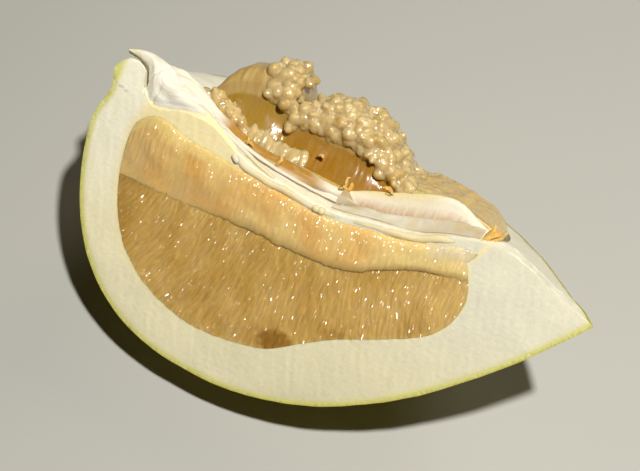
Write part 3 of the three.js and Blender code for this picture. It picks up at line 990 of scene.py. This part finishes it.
def make_front_flesh(sizes, colours):
    """The sliced segment, with its sacs cut across in fine upright streaks."""
    def place(u, v):
        x, z = mix(PULP_START, PULP_END, u), mix(PULP_BOTTOM, -3, v)
        relief = sizes.flesh_relief * (sac_streaks(x, z) ** 0.6 - 0.3 + 0.35 * grain(x, z, 1.1, 2.6, 12))
        return Vector((x, -relief, z))

    def far(u, v):
        return Vector((mix(PULP_START, PULP_END, u), 40, mix(PULP_BOTTOM, -3, v)))

    def membrane(u, v):
        x, z = mix(-60, 90, u), mix(-70, 0, v)
        return Vector((x, (SEAM(x) - z) * FRONT_MEMBRANE_SLOPE - PULP_GAP, z))

    def behind(u, v):
        return Vector((mix(-60, 90, u), -20, mix(-70, 0, v)))

    work = combine(
        solid(relief_block(360, 150, place, far)),
        ("INTERSECT", solid(turned(moved_outline(PULP_OUTLINE, PULP_GAP), 180, sizes.pulp_wobble))),
        ("INTERSECT", solid(relief_block(60, 30, membrane, behind))),
    )
    material = flesh_material("Sliced pulp", 1.0, 9.0, 0.5, 1.4, 0.95)
    nodes = ["front_segment"]
    return finish_piece("Sliced_segment", work, material, nodes, front_flesh_tint, 80)


def band_front(x, share, sizes):
    """How far the middle segment's skin stands out of the cut, at a share of its height."""
    swell = math.sqrt(max(0.0, 1 - abs(2 * share - 1) ** 3.5))
    ends = between(x, -54, -36, 64, 78)
    ends *= 1 - 0.75 * (1 - smooth(x, -30, 0)) * (1 - smooth(share, 0.1, 0.6))
    return sizes.band_swell * swell * ends


def band_tint(place, normal):
    """Orange skin in soft clouds, paler at both ends and along the seam's blossom side."""
    x, _, z = place
    share = clamp((z - SEAM(x)) / max(BAND_TOP(x) - SEAM(x), 1))
    tint = BAND_ORANGE.lerp(BAND_PALE, clamp(0.35 + 0.7 * grain(x, z, 9, 14, 21)))
    pale = (1 - smooth(x, -22, 0)) * (1 - smooth(share, 0.3, 0.6))
    tint = tint.lerp(PULP_EDGE, 0.7 * pale * clamp(0.6 + grain(x, z, 5, 4, 24)))
    tint = tint.lerp(BAND_PALE, smooth(x, 34, 60))
    tint = tint.lerp(GREY_FILM, smooth(x, 58, 66) * smooth(share, 0.3, 0.8))
    tint = tint.lerp(PULP_EDGE, 0.8 * (1 - smooth(x, -46, -34)))
    tint = tint.lerp(LIP_YELLOW, 0.7 * smooth(share, 0.8, 0.86) * (1 - smooth(x, -14, -8)))
    tint = tint.lerp(PULP_GOLD, 0.6 * bell(share, 0.0, 0.12) * smooth(x, -16, 4))
    return tint


def make_band(sizes, colours):
    """The middle segment, whose skin is still on: its front swells out and rolls over the sliced one."""
    def edge(x):
        ragged = 0.7 * grain(x, 0, 5, 5, 25) + 0.35 * grain(x, 0, 1.6, 1.6, 26)
        return SEAM(x) - 1.0 * smooth(x, -50, -30) + ragged * smooth(x, -50, -44)

    def place(u, v):
        x = mix(PULP_START, PULP_END, u)
        z = mix(edge(x), BAND_TOP(x) + 0.3, v)
        ripple = 0.22 * sac_streaks(x, z) + 0.3 * grain(x, z, 7, 5, 22) + 0.12 * grain(x, z, 1.2, 4, 23)
        out = band_front(x, v, sizes) + ripple * clamp(4 * min(v, 1 - v))
        return Vector((x, -out, z))

    def back(u, v):
        x = mix(PULP_START, PULP_END, u)
        return Vector((x, CORE_DEPTH, mix(edge(x), shelf_height(x, CORE_DEPTH), v)))

    work = combine(
        solid(relief_block(330, 60, place, back)),
        ("INTERSECT", solid(turned(moved_outline(PULP_OUTLINE, PULP_GAP), 180, sizes.pulp_wobble))),
    )
    material = flesh_material("Segment skin", 1.2, 5.0, 0.2, 0.6, 0.85)
    return finish_piece("Skinned_segment", work, material, ["middle_segment"], band_tint, 60)


def lump_point(x, share):
    """A point on the lump: share runs from the wall's foot over the top to the pith behind.

    Towards the stem end the undercut wall gives way to a plain low ridge."""
    place = clamp(share) * (len(LUMP_SECTION) - 1)
    i = min(int(place), len(LUMP_SECTION) - 2)
    across, up = LUMP_SECTION[i].lerp(LUMP_SECTION[i + 1], place - i)
    plain_up = min(1.0, 12 * across, 5 * (1 - across))
    up = mix(up, plain_up, smooth(x, 34, 46))
    back = max(outline_radius(TORN_OUTLINE, x) - 0.3, LUMP_FOOT + 4)
    return Vector((x, mix(LUMP_FOOT, back, across), mix(-LUMP_SINK, LUMP_CREST(x), up)))


def lump_normal(x, share):
    """The direction in which the lump faces at such a point."""
    here = lump_point(x, share)
    return (lump_point(x + 1, share) - here).cross(lump_point(x, min(share + 0.02, 1)) - here).normalized()


def lump_tint(place, normal):
    """Pale gel on top, and the bare wall under the sacs in olive and deep gold."""
    x, y, z = place
    wall = (1 - smooth(y, 19, 24)) * between(x, -36, -28, 44, 50)
    wall *= 1 - smooth(z + 0.8 * grain(x, 0, 3, 3, 34), SAC_FLOOR(x) - 0.8, SAC_FLOOR(x) + 0.6)
    streak = clamp(0.5 + 0.9 * grain(x + 0.2 * z, z, 1.3, 9, 31))
    gel = SAC_GOLD.lerp(SAC_PALE, 0.5 * streak + 0.3 * grain(x, y, 6, 6, 35))
    gel = gel.lerp(TAIL_GOLD, smooth(x, 34, 48))
    deep = WALL_OLIVE.lerp(WALL_GOLD, smooth(x, -20, 10))
    return gel.lerp(deep.lerp(SAC_GOLD, 0.15 * streak), wall)


def make_lump(sizes, colours):
    """The torn segment's body: a streaked golden wall over the dip, and the mass that its sacs grow from."""
    def place(u, v):
        x = mix(LUMP_START, LUMP_END, u)
        point, side = lump_point(x, v), lump_normal(x, clamp(v, 0.01, 0.97))
        streak = 0.15 * grain(x + 0.25 * point.z, point.z + point.y, 1.1, 8, 32)
        streak += 0.5 * grain(x, v, 6, 0.2, 33)
        streak += 0.5 * smooth(v, 0.3, 0.4) * grain(x, point.y, 2.4, 2.4, 36)
        streak += smooth(x, 32, 40) * (grain(x, point.y, 7, 1.5, 37) - 0.3)
        edge = clamp(8 * min(u, 1 - u, v, 1 - v))
        return point + side * streak * edge

    def far(u, v):
        top = lump_point(mix(LUMP_START, LUMP_END, u), v)
        return Vector((top.x, mix(LUMP_FOOT, top.y, v), -LUMP_SINK - 0.5))

    body = combine(
        solid(turned(TORN_OUTLINE, 90)), ("INTERSECT", solid(behind_back_membrane(0.3, 0.0)))
    )
    lump = combine(
        solid(relief_block(220, 90, place, far)),
        ("INTERSECT", solid(prism(TORN_OUTLINE, -10, FAR))),
        ("UNION", body),
    )
    material = flesh_material("Torn pulp", 1.4, 60.0, 0.25, 1.5, 0.22)
    return finish_piece("Torn_segment", lump, material, ["back_segment"], lump_tint, 80)


def append(bm, part):
    """Moves the part's mesh into another one."""
    mesh = bpy.data.meshes.new("part")
    part.to_mesh(mesh)
    part.free()
    bm.from_mesh(mesh)
    bpy.data.meshes.remove(mesh)


def add_sac(bm, foot, direction, length, width, bend):
    """One juice sac: a blunt drop on a slim stalk, a little bent and uneven."""
    turn = direction.to_track_quat("Z", "Y").to_matrix().to_4x4()
    sac = bmesh.new()
    made = bmesh.ops.create_uvsphere(sac, u_segments=12, v_segments=9, radius=0.5)["verts"]
    for vert in made:
        rise = vert.co.z * 2
        slim = 1 + 0.34 * rise - 0.18 * rise * rise
        lump = 1 + 0.16 * noise.noise(vert.co * 2.6 + foot)
        vert.co = Vector((
            vert.co.x * width * slim * lump + bend * rise * rise,
            vert.co.y * width * slim * lump,
            vert.co.z * length,
        ))
    bmesh.ops.transform(sac, matrix=Matrix.Translation(foot) @ turn, verts=made)
    append(bm, sac)


def make_sacs(sizes, colours):
    """The loose juice sacs that cover the torn segment's lump, its blossom end and its wall's foot."""
    draw = random.Random(11)
    bm = bmesh.new()
    feet, tints = [], []

    def place_sac(foot, direction, width, length, paleness):
        add_sac(bm, foot, direction, length, width, draw.uniform(-0.8, 0.8))
        feet.append((*(foot + direction * length * 0.3),))
        tints.append(SAC_GOLD.lerp(SAC_PALE, paleness))

    def grow(x, share, lean, sink):
        foot, outwards = lump_point(x, share), lump_normal(x, share)
        if foot.y < 20 and foot.z < SAC_FLOOR(x) + 1.0:
            return
        direction = (outwards * 0.35 + lean).normalized()
        width, length = sizes.sac_width * draw.uniform(0.7, 1.25), sizes.sac_length * draw.uniform(0.7, 1.3)
        place_sac(foot + outwards * sink, direction, width, length, draw.uniform(0.1, 1.0))

    for _ in range(sizes.sac_count):
        x, share = draw.uniform(-28, 43), draw.uniform(0.27, 0.985)
        on_plateau = x < -14 and share < 0.72
        in_notch = -8 < x < -2
        if on_plateau and draw.random() < (0.94 if x > -18 else 1.0):
            continue
        if in_notch and draw.random() < 0.5:
            continue
        lean = Vector((draw.uniform(-0.8, 0.8), draw.uniform(-0.8, 0.3), draw.uniform(-0.7, 0.7)))
        grow(x, share, lean, draw.uniform(-1.8, 0.2) - 1.5 * smooth(x, 34, 40))
    for i in range(sizes.fringe_sac_count):
        x = mix(-15, 39, i / sizes.fringe_sac_count) + draw.uniform(-0.5, 0.5)
        depth = lump_point(x, 0.13).y + draw.uniform(0.2, 1.0)
        foot = Vector((x, depth, SAC_FLOOR(x) + draw.uniform(1.2, 3.4)))
        lean = Vector((draw.uniform(-0.6, 0.6), -0.2, draw.uniform(0.5, 1))).normalized()
        place_sac(foot, lean, draw.uniform(3, 4.6), draw.uniform(5, 8), draw.uniform(0.2, 1.0))
    for _ in range(sizes.end_sac_count):
        foot = Vector((draw.uniform(-33.5, -21), draw.uniform(13.5, 16), draw.uniform(0.5, 9)))
        foot.z = min(foot.z, 9 - 0.5 * abs(foot.x + 30))
        lean = Vector((draw.uniform(-1, 1), -0.2, draw.uniform(-1, 1))).normalized()
        place_sac(foot, lean, draw.uniform(3, 5), draw.uniform(5, 9), draw.uniform(0, 0.4))
    for i in range(sizes.foot_sac_count):
        x = mix(-21, 8, i / sizes.foot_sac_count) + draw.uniform(-0.6, 0.6)
        low, high = lump_point(x, 0.02), lump_point(x, 0.12)
        foot = low.lerp(high, draw.uniform(0.1, 0.45)) - Vector((0, draw.uniform(0.1, 0.6), 0))
        lean = ((high - low).normalized() + Vector((draw.uniform(-0.35, 0.15), 0, 0))).normalized()
        place_sac(foot, lean, draw.uniform(2.0, 3.4), draw.uniform(6, 9.5), draw.uniform(0.3, 0.8))
    centres = KDTree(len(feet))
    for i, foot in enumerate(feet):
        centres.insert(foot, i)
    centres.balance()
    work = merge_softly(solid(bm), sizes.sac_grid)

    def tint_at(place, normal):
        """Each sac has its own tint, and the seam where two of them meet is paler: partly the sacs' pale
        skins, partly painted light that lifts the shade between them.
        """
        (_, sac, reach), (_, _, next_reach) = centres.find_n(place, 2)
        # Painted light: the paler seams stand in for light through the gel and lift the shade where sacs
        # meet.
        return tints[sac].lerp(SAC_SEAM_PAINTED_LIGHT, 0.7 * (1 - smooth(next_reach - reach, 0.1, 1.0)))

    return finish_piece("Juice_sacs", work, sac_material(), ["back_segment"], tint_at, 180)


def strand(points, thickness, flatness=1.0, tip=0.15, sides=12, fibre=0.1):
    """A round-ended strand through the points. Thickness gives its radius at each share of its length."""
    steps = len(points) - 1
    reach = points[-1] - points[0]
    upright = abs(reach.z) > max(abs(reach.x), abs(reach.y))
    reference = Vector((1, 0, 0)) if upright else Vector((0, 0, 1))
    bm = bmesh.new()
    bmesh.ops.create_grid(bm, x_segments=steps, y_segments=sides, size=0.5)
    for vert in bm.verts:
        share, turn = vert.co.x + 0.5, (vert.co.y + 0.5) * 2 * math.pi
        i = round(share * steps)
        ahead = (points[min(i + 1, steps)] - points[max(i - 1, 0)]).normalized()
        side = ahead.cross(reference).normalized()
        end = clamp(min(share, 1 - share) / tip)
        radius = thickness(share) * math.sqrt(1 - (1 - end) ** 2)
        around = side * math.cos(turn) + ahead.cross(side) * math.sin(turn) * flatness
        lump = 1 + 0.25 * noise.noise(points[i] * 0.7 + around * 0.8)
        lump += fibre * noise.noise(points[i] * 0.25 + around * 4)
        vert.co = points[i] + around * radius * lump
    bmesh.ops.remove_doubles(bm, verts=bm.verts, dist=0.002)
    bmesh.ops.recalc_face_normals(bm, faces=bm.faces)
    return bm


def sheet(columns, rows, place, thickness):
    """A thin sheet through place(u, v)."""
    bm = bmesh.new()
    bmesh.ops.create_grid(bm, x_segments=columns, y_segments=rows, size=0.5)
    for vert in bm.verts:
        vert.co = place(vert.co.x + 0.5, vert.co.y + 0.5)
    bmesh.ops.solidify(bm, geom=bm.faces, thickness=thickness)
    return bm


def rope_tint(place, normal):
    """White, with yellow where a cord turns towards the sliced cut."""
    tint = CORE_WHITE.lerp(LIP_YELLOW, 0.55 * smooth(place.x, -20, 0) * (1 - smooth(place.y, 1.0, 2.2)))
    return tint.lerp(LIP_YELLOW, 0.3 * clamp(grain(place.x, place.y, 5, 1, 41)))


def make_ropes(sizes, colours):
    """The cords of membrane along the core's cut edge and the fibres that run down from the torn flap."""
    bm = bmesh.new()
    front = []
    for x in range(-14, 72, 2):
        height = top_section(x)(0.0) - 1.0 + 0.3 * grain(x, 0, 6, 6, 43)
        front.append(Vector((x, 0.7 + 0.5 * grain(x, 0, 9, 9, 42), height)))
    append(bm, strand(front, lambda share: 1.2 + 0.25 * math.sin(9 * share), tip=0.06))
    upper = curve_through([(-21, 2.8, 3.0), (-11, 2.2, 0.0), (-2, 1.6, -2.8), (6, 1.2, -4.4)], 6)
    append(bm, strand(upper, lambda share: mix(1.3, 0.7, share), flatness=0.8, tip=0.1))
    gutter = curve_through(
        [(-26, 5.0, 4.6), (-14, 4.8, 1.0), (0, 4.2, -1.4), (16, 3.8, -2.2), (30, 3.4, -2.0)], 6
    )
    append(bm, strand(gutter, lambda share: mix(1.3, 0.7, share), flatness=0.6, tip=0.06))
    knob = curve_through([(20.2, 0.2, -6.0), (21.6, -0.2, -6.6), (23.2, 0.2, -6.4), (24.6, 0.6, -7.6)], 4)
    append(bm, strand(knob, lambda share: 1.3 + 0.4 * math.sin(12 * share), tip=0.3))
    blossom_knob = curve_through([(-12.6, 0.0, -2.4), (-11, -0.3, -3.4), (-9.6, 0.2, -4.4)], 4)
    append(bm, strand(blossom_knob, lambda share: 1.1, tip=0.4))
    return finish_piece("Core_ropes", solid(bm), pith_material(), ["pith"], rope_tint, 60)


# The torn flap's lower and upper edges, from its tip down to where it thins out along the core.
FLAP_LOW = curve_through([
    (-62.6, 4.0, 12.6), (-57.1, 4.0, 12.0), (-53.5, 3.4, 10.8), (-51.2, 2.2, 7.2), (-49.9, 1.4, 2.5),
    (-47.6, 0.6, 0.2), (-42.2, 0.5, 0.8), (-36.2, 0.6, 2.0), (-30.3, 0.8, 2.9), (-24.3, 1.0, 3.0),
    (-18.4, 1.2, 1.4), (-12.4, 1.4, -1.0), (-6.4, 1.6, -2.2),
], 10)
FLAP_HIGH = curve_through([
    (-62.6, 4.4, 13.2), (-59.4, 5.0, 14.1), (-54.7, 5.4, 15.0), (-48.8, 5.2, 14.4), (-44.9, 5.0, 13.2),
    (-41.3, 4.8, 11.0), (-37.4, 4.6, 9.8), (-33.2, 4.4, 8.6), (-29.0, 4.2, 6.6), (-24.4, 4.0, 4.6),
    (-18.3, 4.0, 2.2), (-13.2, 3.8, 0.2), (-7.1, 3.6, -1.2),
], 10)
FLAP_FRONT = Vector((0.1, -0.8, 0.6))


def make_torn_flap(sizes, colours):
    """The broad white flap that was torn up from the pith at the blossom end."""
    last = len(FLAP_LOW) - 1

    def place(u, v):
        i = min(int(u * last), last - 1)
        low, high = (edge[i].lerp(edge[i + 1], u * last - i) for edge in (FLAP_LOW, FLAP_HIGH))
        point = low.lerp(high, v)
        width = (high - low).length
        bulge = 0.28 * width * math.sin(math.pi * v)
        bulge -= 1.7 * bell(point.x, -42, 3.6) * bell(point.z, 3.6, 1.6)
        bulge -= 0.9 * bell(point.x - 0.25 * point.z, -46.8, 0.5) * (1 - smooth(point.z, 4.5, 7))
        bulge -= 0.8 * bell(point.x - 0.7 * point.z, -55.4, 0.5) * smooth(point.z, 4, 6)
        run = 40 * u
        bulge += 0.5 * grain(run + 2 * v, width * v, 7, 2.2, 71) + 0.25 * grain(run, width * v, 3, 0.8, 72)
        return point + FLAP_FRONT * (bulge + 0.3)

    def back(u, v):
        return place(u, v) - FLAP_FRONT * mix(2.6, 1.6, u)

    work = merge_softly(solid(relief_block(180, 50, place, back)), sizes.flap_grid)
    return finish_piece("Torn_flap", work, pith_material(), ["pith"], flap_tint, 180)


def flap_tint(place, normal):
    """White, yellowish at the tip, and grey as painted shade in the hollow."""
    tint = FLAP_WHITE.lerp(CORE_WHITE, clamp(0.4 + grain(place.x, place.z, 4, 2, 73)))
    tip = 1 - smooth(place.x, -62, -55)
    # Painted shade: the hollow is painted grey.
    hollow = bell(place.x, -42, 4) * bell(place.z, 3.6, 1.8)
    return tint.lerp(MEMBRANE_YELLOW, 0.5 * tip).lerp(HOLLOW_PAINTED_SHADE, 0.5 * hollow)


def make_film(sizes, colours):
    """The greyish membrane that overhangs the pocket, and its torn corner."""
    def place(u, v):
        x = mix(25.5, 75, u)
        edge = mix(4.4, 5.2, smooth(x, 30, 50))
        depth = mix(1.2, edge, v)
        lift = 0.45 + 0.25 * v * between(x, 34, 44, 66, 76)
        fold = 0.35 * grain(x, depth, 4, 1.6, 61) + 0.2 * grain(x, depth, 1.4, 1.0, 62)
        return Vector((x, depth + 0.3 * fold * v, top_section(x)(depth) + lift + fold * v))

    def corner(u, v):
        top = Vector((26.4, 4.2, 2.2)).lerp(Vector((29.0, 4.8, 1.4)), u)
        low = Vector((26.0, 2.4, -2.6)).lerp(Vector((34.0, 3.6, -1.2)), u)
        point = low.lerp(top, v)
        return point + Vector((0, -0.9 * math.sin(math.pi * v), 0.4 * math.sin(math.pi * u)))

    bm = bmesh.new()
    append(bm, sheet(90, 14, place, -0.35))
    append(bm, sheet(14, 14, corner, -0.3))
    return finish_piece("Core_film", solid(bm), film_material(), ["pith"], film_tint, 60)


def film_tint(place, normal):
    """Greyish white, and browner at the torn corner and towards the stem end."""
    tint = GREY_FILM.lerp(CORE_WHITE, clamp(0.6 + grain(place.x, place.y, 5, 2, 63)))
    corner = (1 - smooth(place.x, 28, 40)) * smooth(place.y, 2.0, 3.2)
    return tint.lerp(FLAP_GREY, 0.9 * corner).lerp(FLAP_GREY, 0.35 * smooth(place.x, 44, 62))


def make_shreds(sizes, colours):
    """The small orange shreds of torn membrane that stand up along the core."""
    low_lines = [
        [(-13.2, 7.6, 0.2), (-11.8, 7.2, 1.6), (-10.2, 7.4, 1.2), (-9.0, 7.8, 0.0)],
        [(-11.9, 7.2, 0.4), (-11.5, 6.8, 2.6), (-12.2, 6.9, 3.2)],
        [(1.4, 5.4, -2.2), (1.8, 5.0, 0.0), (2.3, 5.1, 2.0), (1.6, 5.2, 2.6)],
        [(10.4, 16.4, 5.6), (11.6, 16.0, 6.2), (12.4, 16.2, 5.2)],
        [(23.4, 9.0, 0.8), (25.4, 8.6, 1.8), (27.2, 9.2, 0.8)],
        [(24.6, 9.0, 1.0), (25.2, 8.5, 3.0), (25.0, 8.6, 5.0), (26.0, 8.8, 5.8)],
        [(26.6, 9.0, 1.2), (27.2, 8.6, 3.4), (26.8, 8.8, 4.6)],
        [(36.4, 9.4, 6.6), (38.2, 9.0, 8.2), (40.0, 9.2, 7.8), (40.6, 9.4, 6.6), (38.4, 9.2, 6.2)],
        [(73.5, 2.4, 3.0), (77.0, 2.6, 4.2), (80.5, 3.0, 5.2)],
    ]
    standing_lines = [
        [(74.0, 3.4, 7.0), (76.5, 3.0, 9.5), (78.6, 3.4, 12.0), (80.0, 4.0, 12.6)],
        [(75.0, 4.4, 8.5), (77.4, 4.6, 12.0), (76.8, 5.2, 14.2)],
        [(77.0, 4.2, 9.0), (80.2, 4.4, 11.0), (81.6, 5.0, 13.8)],
    ]
    bm = bmesh.new()
    for lines, size in ((low_lines, 1.6), (standing_lines, 2.4)):
        for line in lines:
            points = curve_through(line, 5)
            shred = strand(
                points, lambda share: size * (1.1 - 0.6 * share), flatness=0.4, tip=0.4, sides=14, fibre=0.6
            )
            append(bm, shred)
    return finish_piece("Orange_shreds", solid(bm), shred_material(), ["pith"], shred_tint, 60)


def shred_tint(place, normal):
    """Orange and yellow in patches."""
    return SHRED_ORANGE.lerp(LIP_YELLOW, clamp(0.35 + grain(place.x, place.z, 2, 2, 64)))


# The stage

VIEW_AZIMUTH = 30.5
VIEW_ELEVATION = 60.0
VIEW_DISTANCE = 0.55
VIEW_TARGET = TO_ROW @ Vector((20.0, 0.0, 0.0)) + Vector((0.0, 0.0, -0.03))
LENS = 90.0
SENSOR_WIDTH = 36.0
FLOOR_SIZE = 4.0

# The small hard light near the camera, the large soft one behind the fruit, and the faint warm surroundings.
KEY_LIGHT = {"place": Vector((0.231, -0.075, 0.85)), "size": 0.04, "power": 8.7, "colour": (1.0, 0.975, 0.93)}
BACK_LIGHT = {"place": Vector((0.1, 0.9, 0.75)), "size": 0.5, "power": 1.8, "colour": (1.0, 0.92, 0.76)}
SURROUNDINGS_COLOUR = (1.0, 0.78, 0.4, 1)
SURROUNDINGS_STRENGTH = 0.025


def aim(thing, place, target):
    """Puts a camera or light at a place, so that it looks at the target."""
    thing.location = place
    thing.rotation_euler = (place - target).to_track_quat("Z", "Y").to_euler()


def make_camera():
    """The camera, where the photograph was taken from."""
    data = bpy.data.cameras.new("Camera")
    data.lens = LENS
    data.sensor_width = SENSOR_WIDTH
    camera = bpy.data.objects.new("Camera", data)
    bpy.context.scene.collection.objects.link(camera)
    azimuth, elevation = math.radians(VIEW_AZIMUTH), math.radians(VIEW_ELEVATION)
    back = Vector((
        math.sin(azimuth) * math.cos(elevation), -math.cos(azimuth) * math.cos(elevation), math.sin(elevation)
    ))
    aim(camera, VIEW_TARGET + back * VIEW_DISTANCE, VIEW_TARGET)
    bpy.context.scene.camera = camera


def make_light(name, place, size, power, colour):
    """A round light that faces the middle of the view."""
    data = bpy.data.lights.new(name, "AREA")
    data.shape = "DISK"
    data.size = size
    data.energy = power
    data.color = colour
    light = bpy.data.objects.new(name, data)
    bpy.context.scene.collection.objects.link(light)
    aim(light, place, VIEW_TARGET)


def make_stage(colours):
    """A plain pale floor under soft studio light, seen from where the photograph was taken."""
    bm = bmesh.new()
    bmesh.ops.create_grid(bm, x_segments=1, y_segments=1, size=FLOOR_SIZE)
    mesh = bpy.data.meshes.new("Floor")
    bm.to_mesh(mesh)
    bm.free()
    material, principled = shader("Floor", Roughness=0.6)
    principled.inputs["Base Color"].default_value = (*colours.floor, 1)
    mesh.materials.append(material)
    floor = bpy.data.objects.new("Floor", mesh)
    bpy.context.scene.collection.objects.link(floor)
    make_light("Key", **KEY_LIGHT)
    make_light("Back", **BACK_LIGHT)
    world = bpy.data.worlds.new("World")
    world.use_nodes = True
    background = world.node_tree.nodes["Background"]
    background.inputs["Color"].default_value = SURROUNDINGS_COLOUR
    background.inputs["Strength"].default_value = SURROUNDINGS_STRENGTH
    bpy.context.scene.world = world
    bpy.context.scene.view_settings.view_transform = "Standard"
    make_camera()


# The add-on


class PomeloSizes(bpy.types.PropertyGroup):
    """Sizes of the wedge's details, in millimetres."""

    zest_thickness: FloatProperty(
        name="Zest thickness", description="Thickness of the green rind", default=1.2
    )
    rind_wobble: FloatProperty(
        name="Rind unevenness", description="How uneven the rind's outside is", default=0.45
    )
    pulp_wobble: FloatProperty(
        name="Pulp unevenness", description="How uneven the pulp's edge is", default=0.7
    )
    flesh_relief: FloatProperty(
        name="Pulp relief", description="How far the sliced sacs stand out", default=0.32
    )
    band_swell: FloatProperty(
        name="Skin swell", description="How far the skinned segment swells out", default=1.7
    )
    sac_width: FloatProperty(
        name="Sac width", description="Middle width of a loose juice sac", default=4.3
    )
    sac_length: FloatProperty(
        name="Sac length", description="Middle length of a loose juice sac", default=7.6
    )
    sac_count: IntProperty(
        name="Sacs tried", description="Number of places tried for sacs on the lump", default=900, min=1
    )
    end_sac_count: IntProperty(
        name="End sacs", description="Number of sacs that close the lump's blossom end", default=46, min=0
    )
    fringe_sac_count: IntProperty(
        name="Fringe sacs", description="Number of sacs along the torn wall's upper edge", default=34, min=1
    )
    foot_sac_count: IntProperty(
        name="Foot sacs", description="Number of pale sacs along the torn wall's foot", default=30, min=1
    )
    sac_grid: FloatProperty(
        name="Sac fineness", description="How finely the sacs are merged", default=0.4
    )
    flap_grid: FloatProperty(
        name="Flap fineness", description="How finely the torn flap is merged", default=0.3
    )


class PomeloColours(bpy.types.PropertyGroup):
    """Colours that are the same all over a surface."""

    zest_green: FloatVectorProperty(
        name="Zest green",
        description="The rind's greener patches",
        subtype="COLOR",
        default=linear(150, 144, 48),
    )
    zest_yellow: FloatVectorProperty(
        name="Zest yellow",
        description="The rind's yellower patches",
        subtype="COLOR",
        default=linear(192, 174, 74),
    )
    floor: FloatVectorProperty(
        name="Floor", description="The plain floor", subtype="COLOR", default=linear(181, 181, 174)
    )


class PieceOperator:
    """What every operator for a piece shares: it reads the sizes and colours and makes one piece."""

    bl_options = {"REGISTER", "UNDO"}

    def execute(self, context):
        type(self).make(context.scene.pomelo_sizes, context.scene.pomelo_colours)
        return {"FINISHED"}


class POMELO_OT_zest(PieceOperator, bpy.types.Operator):
    """Adds the green rind"""

    bl_idname = "pomelo.zest"
    bl_label = "Add zest"
    make = staticmethod(make_zest)


class POMELO_OT_pith(PieceOperator, bpy.types.Operator):
    """Adds the white pith and core"""

    bl_idname = "pomelo.pith"
    bl_label = "Add pith"
    make = staticmethod(make_pith)


class POMELO_OT_front_flesh(PieceOperator, bpy.types.Operator):
    """Adds the sliced segment"""

    bl_idname = "pomelo.front_flesh"
    bl_label = "Add sliced segment"
    make = staticmethod(make_front_flesh)


class POMELO_OT_band(PieceOperator, bpy.types.Operator):
    """Adds the segment that still has its skin"""

    bl_idname = "pomelo.band"
    bl_label = "Add skinned segment"
    make = staticmethod(make_band)


class POMELO_OT_lump(PieceOperator, bpy.types.Operator):
    """Adds the torn segment's body"""

    bl_idname = "pomelo.lump"
    bl_label = "Add torn segment"
    make = staticmethod(make_lump)


class POMELO_OT_sacs(PieceOperator, bpy.types.Operator):
    """Adds the loose juice sacs"""

    bl_idname = "pomelo.sacs"
    bl_label = "Add juice sacs"
    make = staticmethod(make_sacs)


class POMELO_OT_ropes(PieceOperator, bpy.types.Operator):
    """Adds the cords of membrane along the core"""

    bl_idname = "pomelo.ropes"
    bl_label = "Add core ropes"
    make = staticmethod(make_ropes)


class POMELO_OT_torn_flap(PieceOperator, bpy.types.Operator):
    """Adds the torn white flap at the blossom end"""

    bl_idname = "pomelo.torn_flap"
    bl_label = "Add torn flap"
    make = staticmethod(make_torn_flap)


class POMELO_OT_film(PieceOperator, bpy.types.Operator):
    """Adds the membrane over the pocket"""

    bl_idname = "pomelo.film"
    bl_label = "Add core film"
    make = staticmethod(make_film)


class POMELO_OT_shreds(PieceOperator, bpy.types.Operator):
    """Adds the small orange shreds along the core"""

    bl_idname = "pomelo.shreds"
    bl_label = "Add orange shreds"
    make = staticmethod(make_shreds)


class POMELO_OT_stage(bpy.types.Operator):
    """Adds the floor, the lights and the camera"""

    bl_idname = "pomelo.stage"
    bl_label = "Add stage"

    def execute(self, context):
        make_stage(context.scene.pomelo_colours)
        return {"FINISHED"}


OPERATORS = (
    POMELO_OT_stage,
    POMELO_OT_zest,
    POMELO_OT_pith,
    POMELO_OT_front_flesh,
    POMELO_OT_band,
    POMELO_OT_lump,
    POMELO_OT_sacs,
    POMELO_OT_ropes,
    POMELO_OT_torn_flap,
    POMELO_OT_film,
    POMELO_OT_shreds,
)


class POMELO_PT_panel(bpy.types.Panel):
    """Lists the wedge's settings and pieces"""

    bl_idname = "POMELO_PT_panel"
    bl_label = "Pomelo wedge"
    bl_space_type = "VIEW_3D"
    bl_region_type = "UI"
    bl_category = "Pomelo"

    def draw(self, context):
        for settings in (context.scene.pomelo_sizes, context.scene.pomelo_colours):
            for name in settings.__annotations__:
                self.layout.prop(settings, name)
        for operator in OPERATORS:
            self.layout.operator(operator.bl_idname)


CLASSES = (PomeloSizes, PomeloColours, *OPERATORS, POMELO_PT_panel)


def register():
    """Add the settings, the operators and the panel to Blender."""
    for item in CLASSES:
        bpy.utils.register_class(item)
    bpy.types.Scene.pomelo_sizes = PointerProperty(type=PomeloSizes)
    bpy.types.Scene.pomelo_colours = PointerProperty(type=PomeloColours)


def unregister():
    """Take them all away again."""
    del bpy.types.Scene.pomelo_colours
    del bpy.types.Scene.pomelo_sizes
    for item in reversed(CLASSES):
        bpy.utils.unregister_class(item)


def main():
    """Make every piece and the stage."""
    register()
    for operator in OPERATORS:
        group, name = operator.bl_idname.split(".")
        getattr(getattr(bpy.ops, group), name)()


if __name__ == "__main__":
    main()
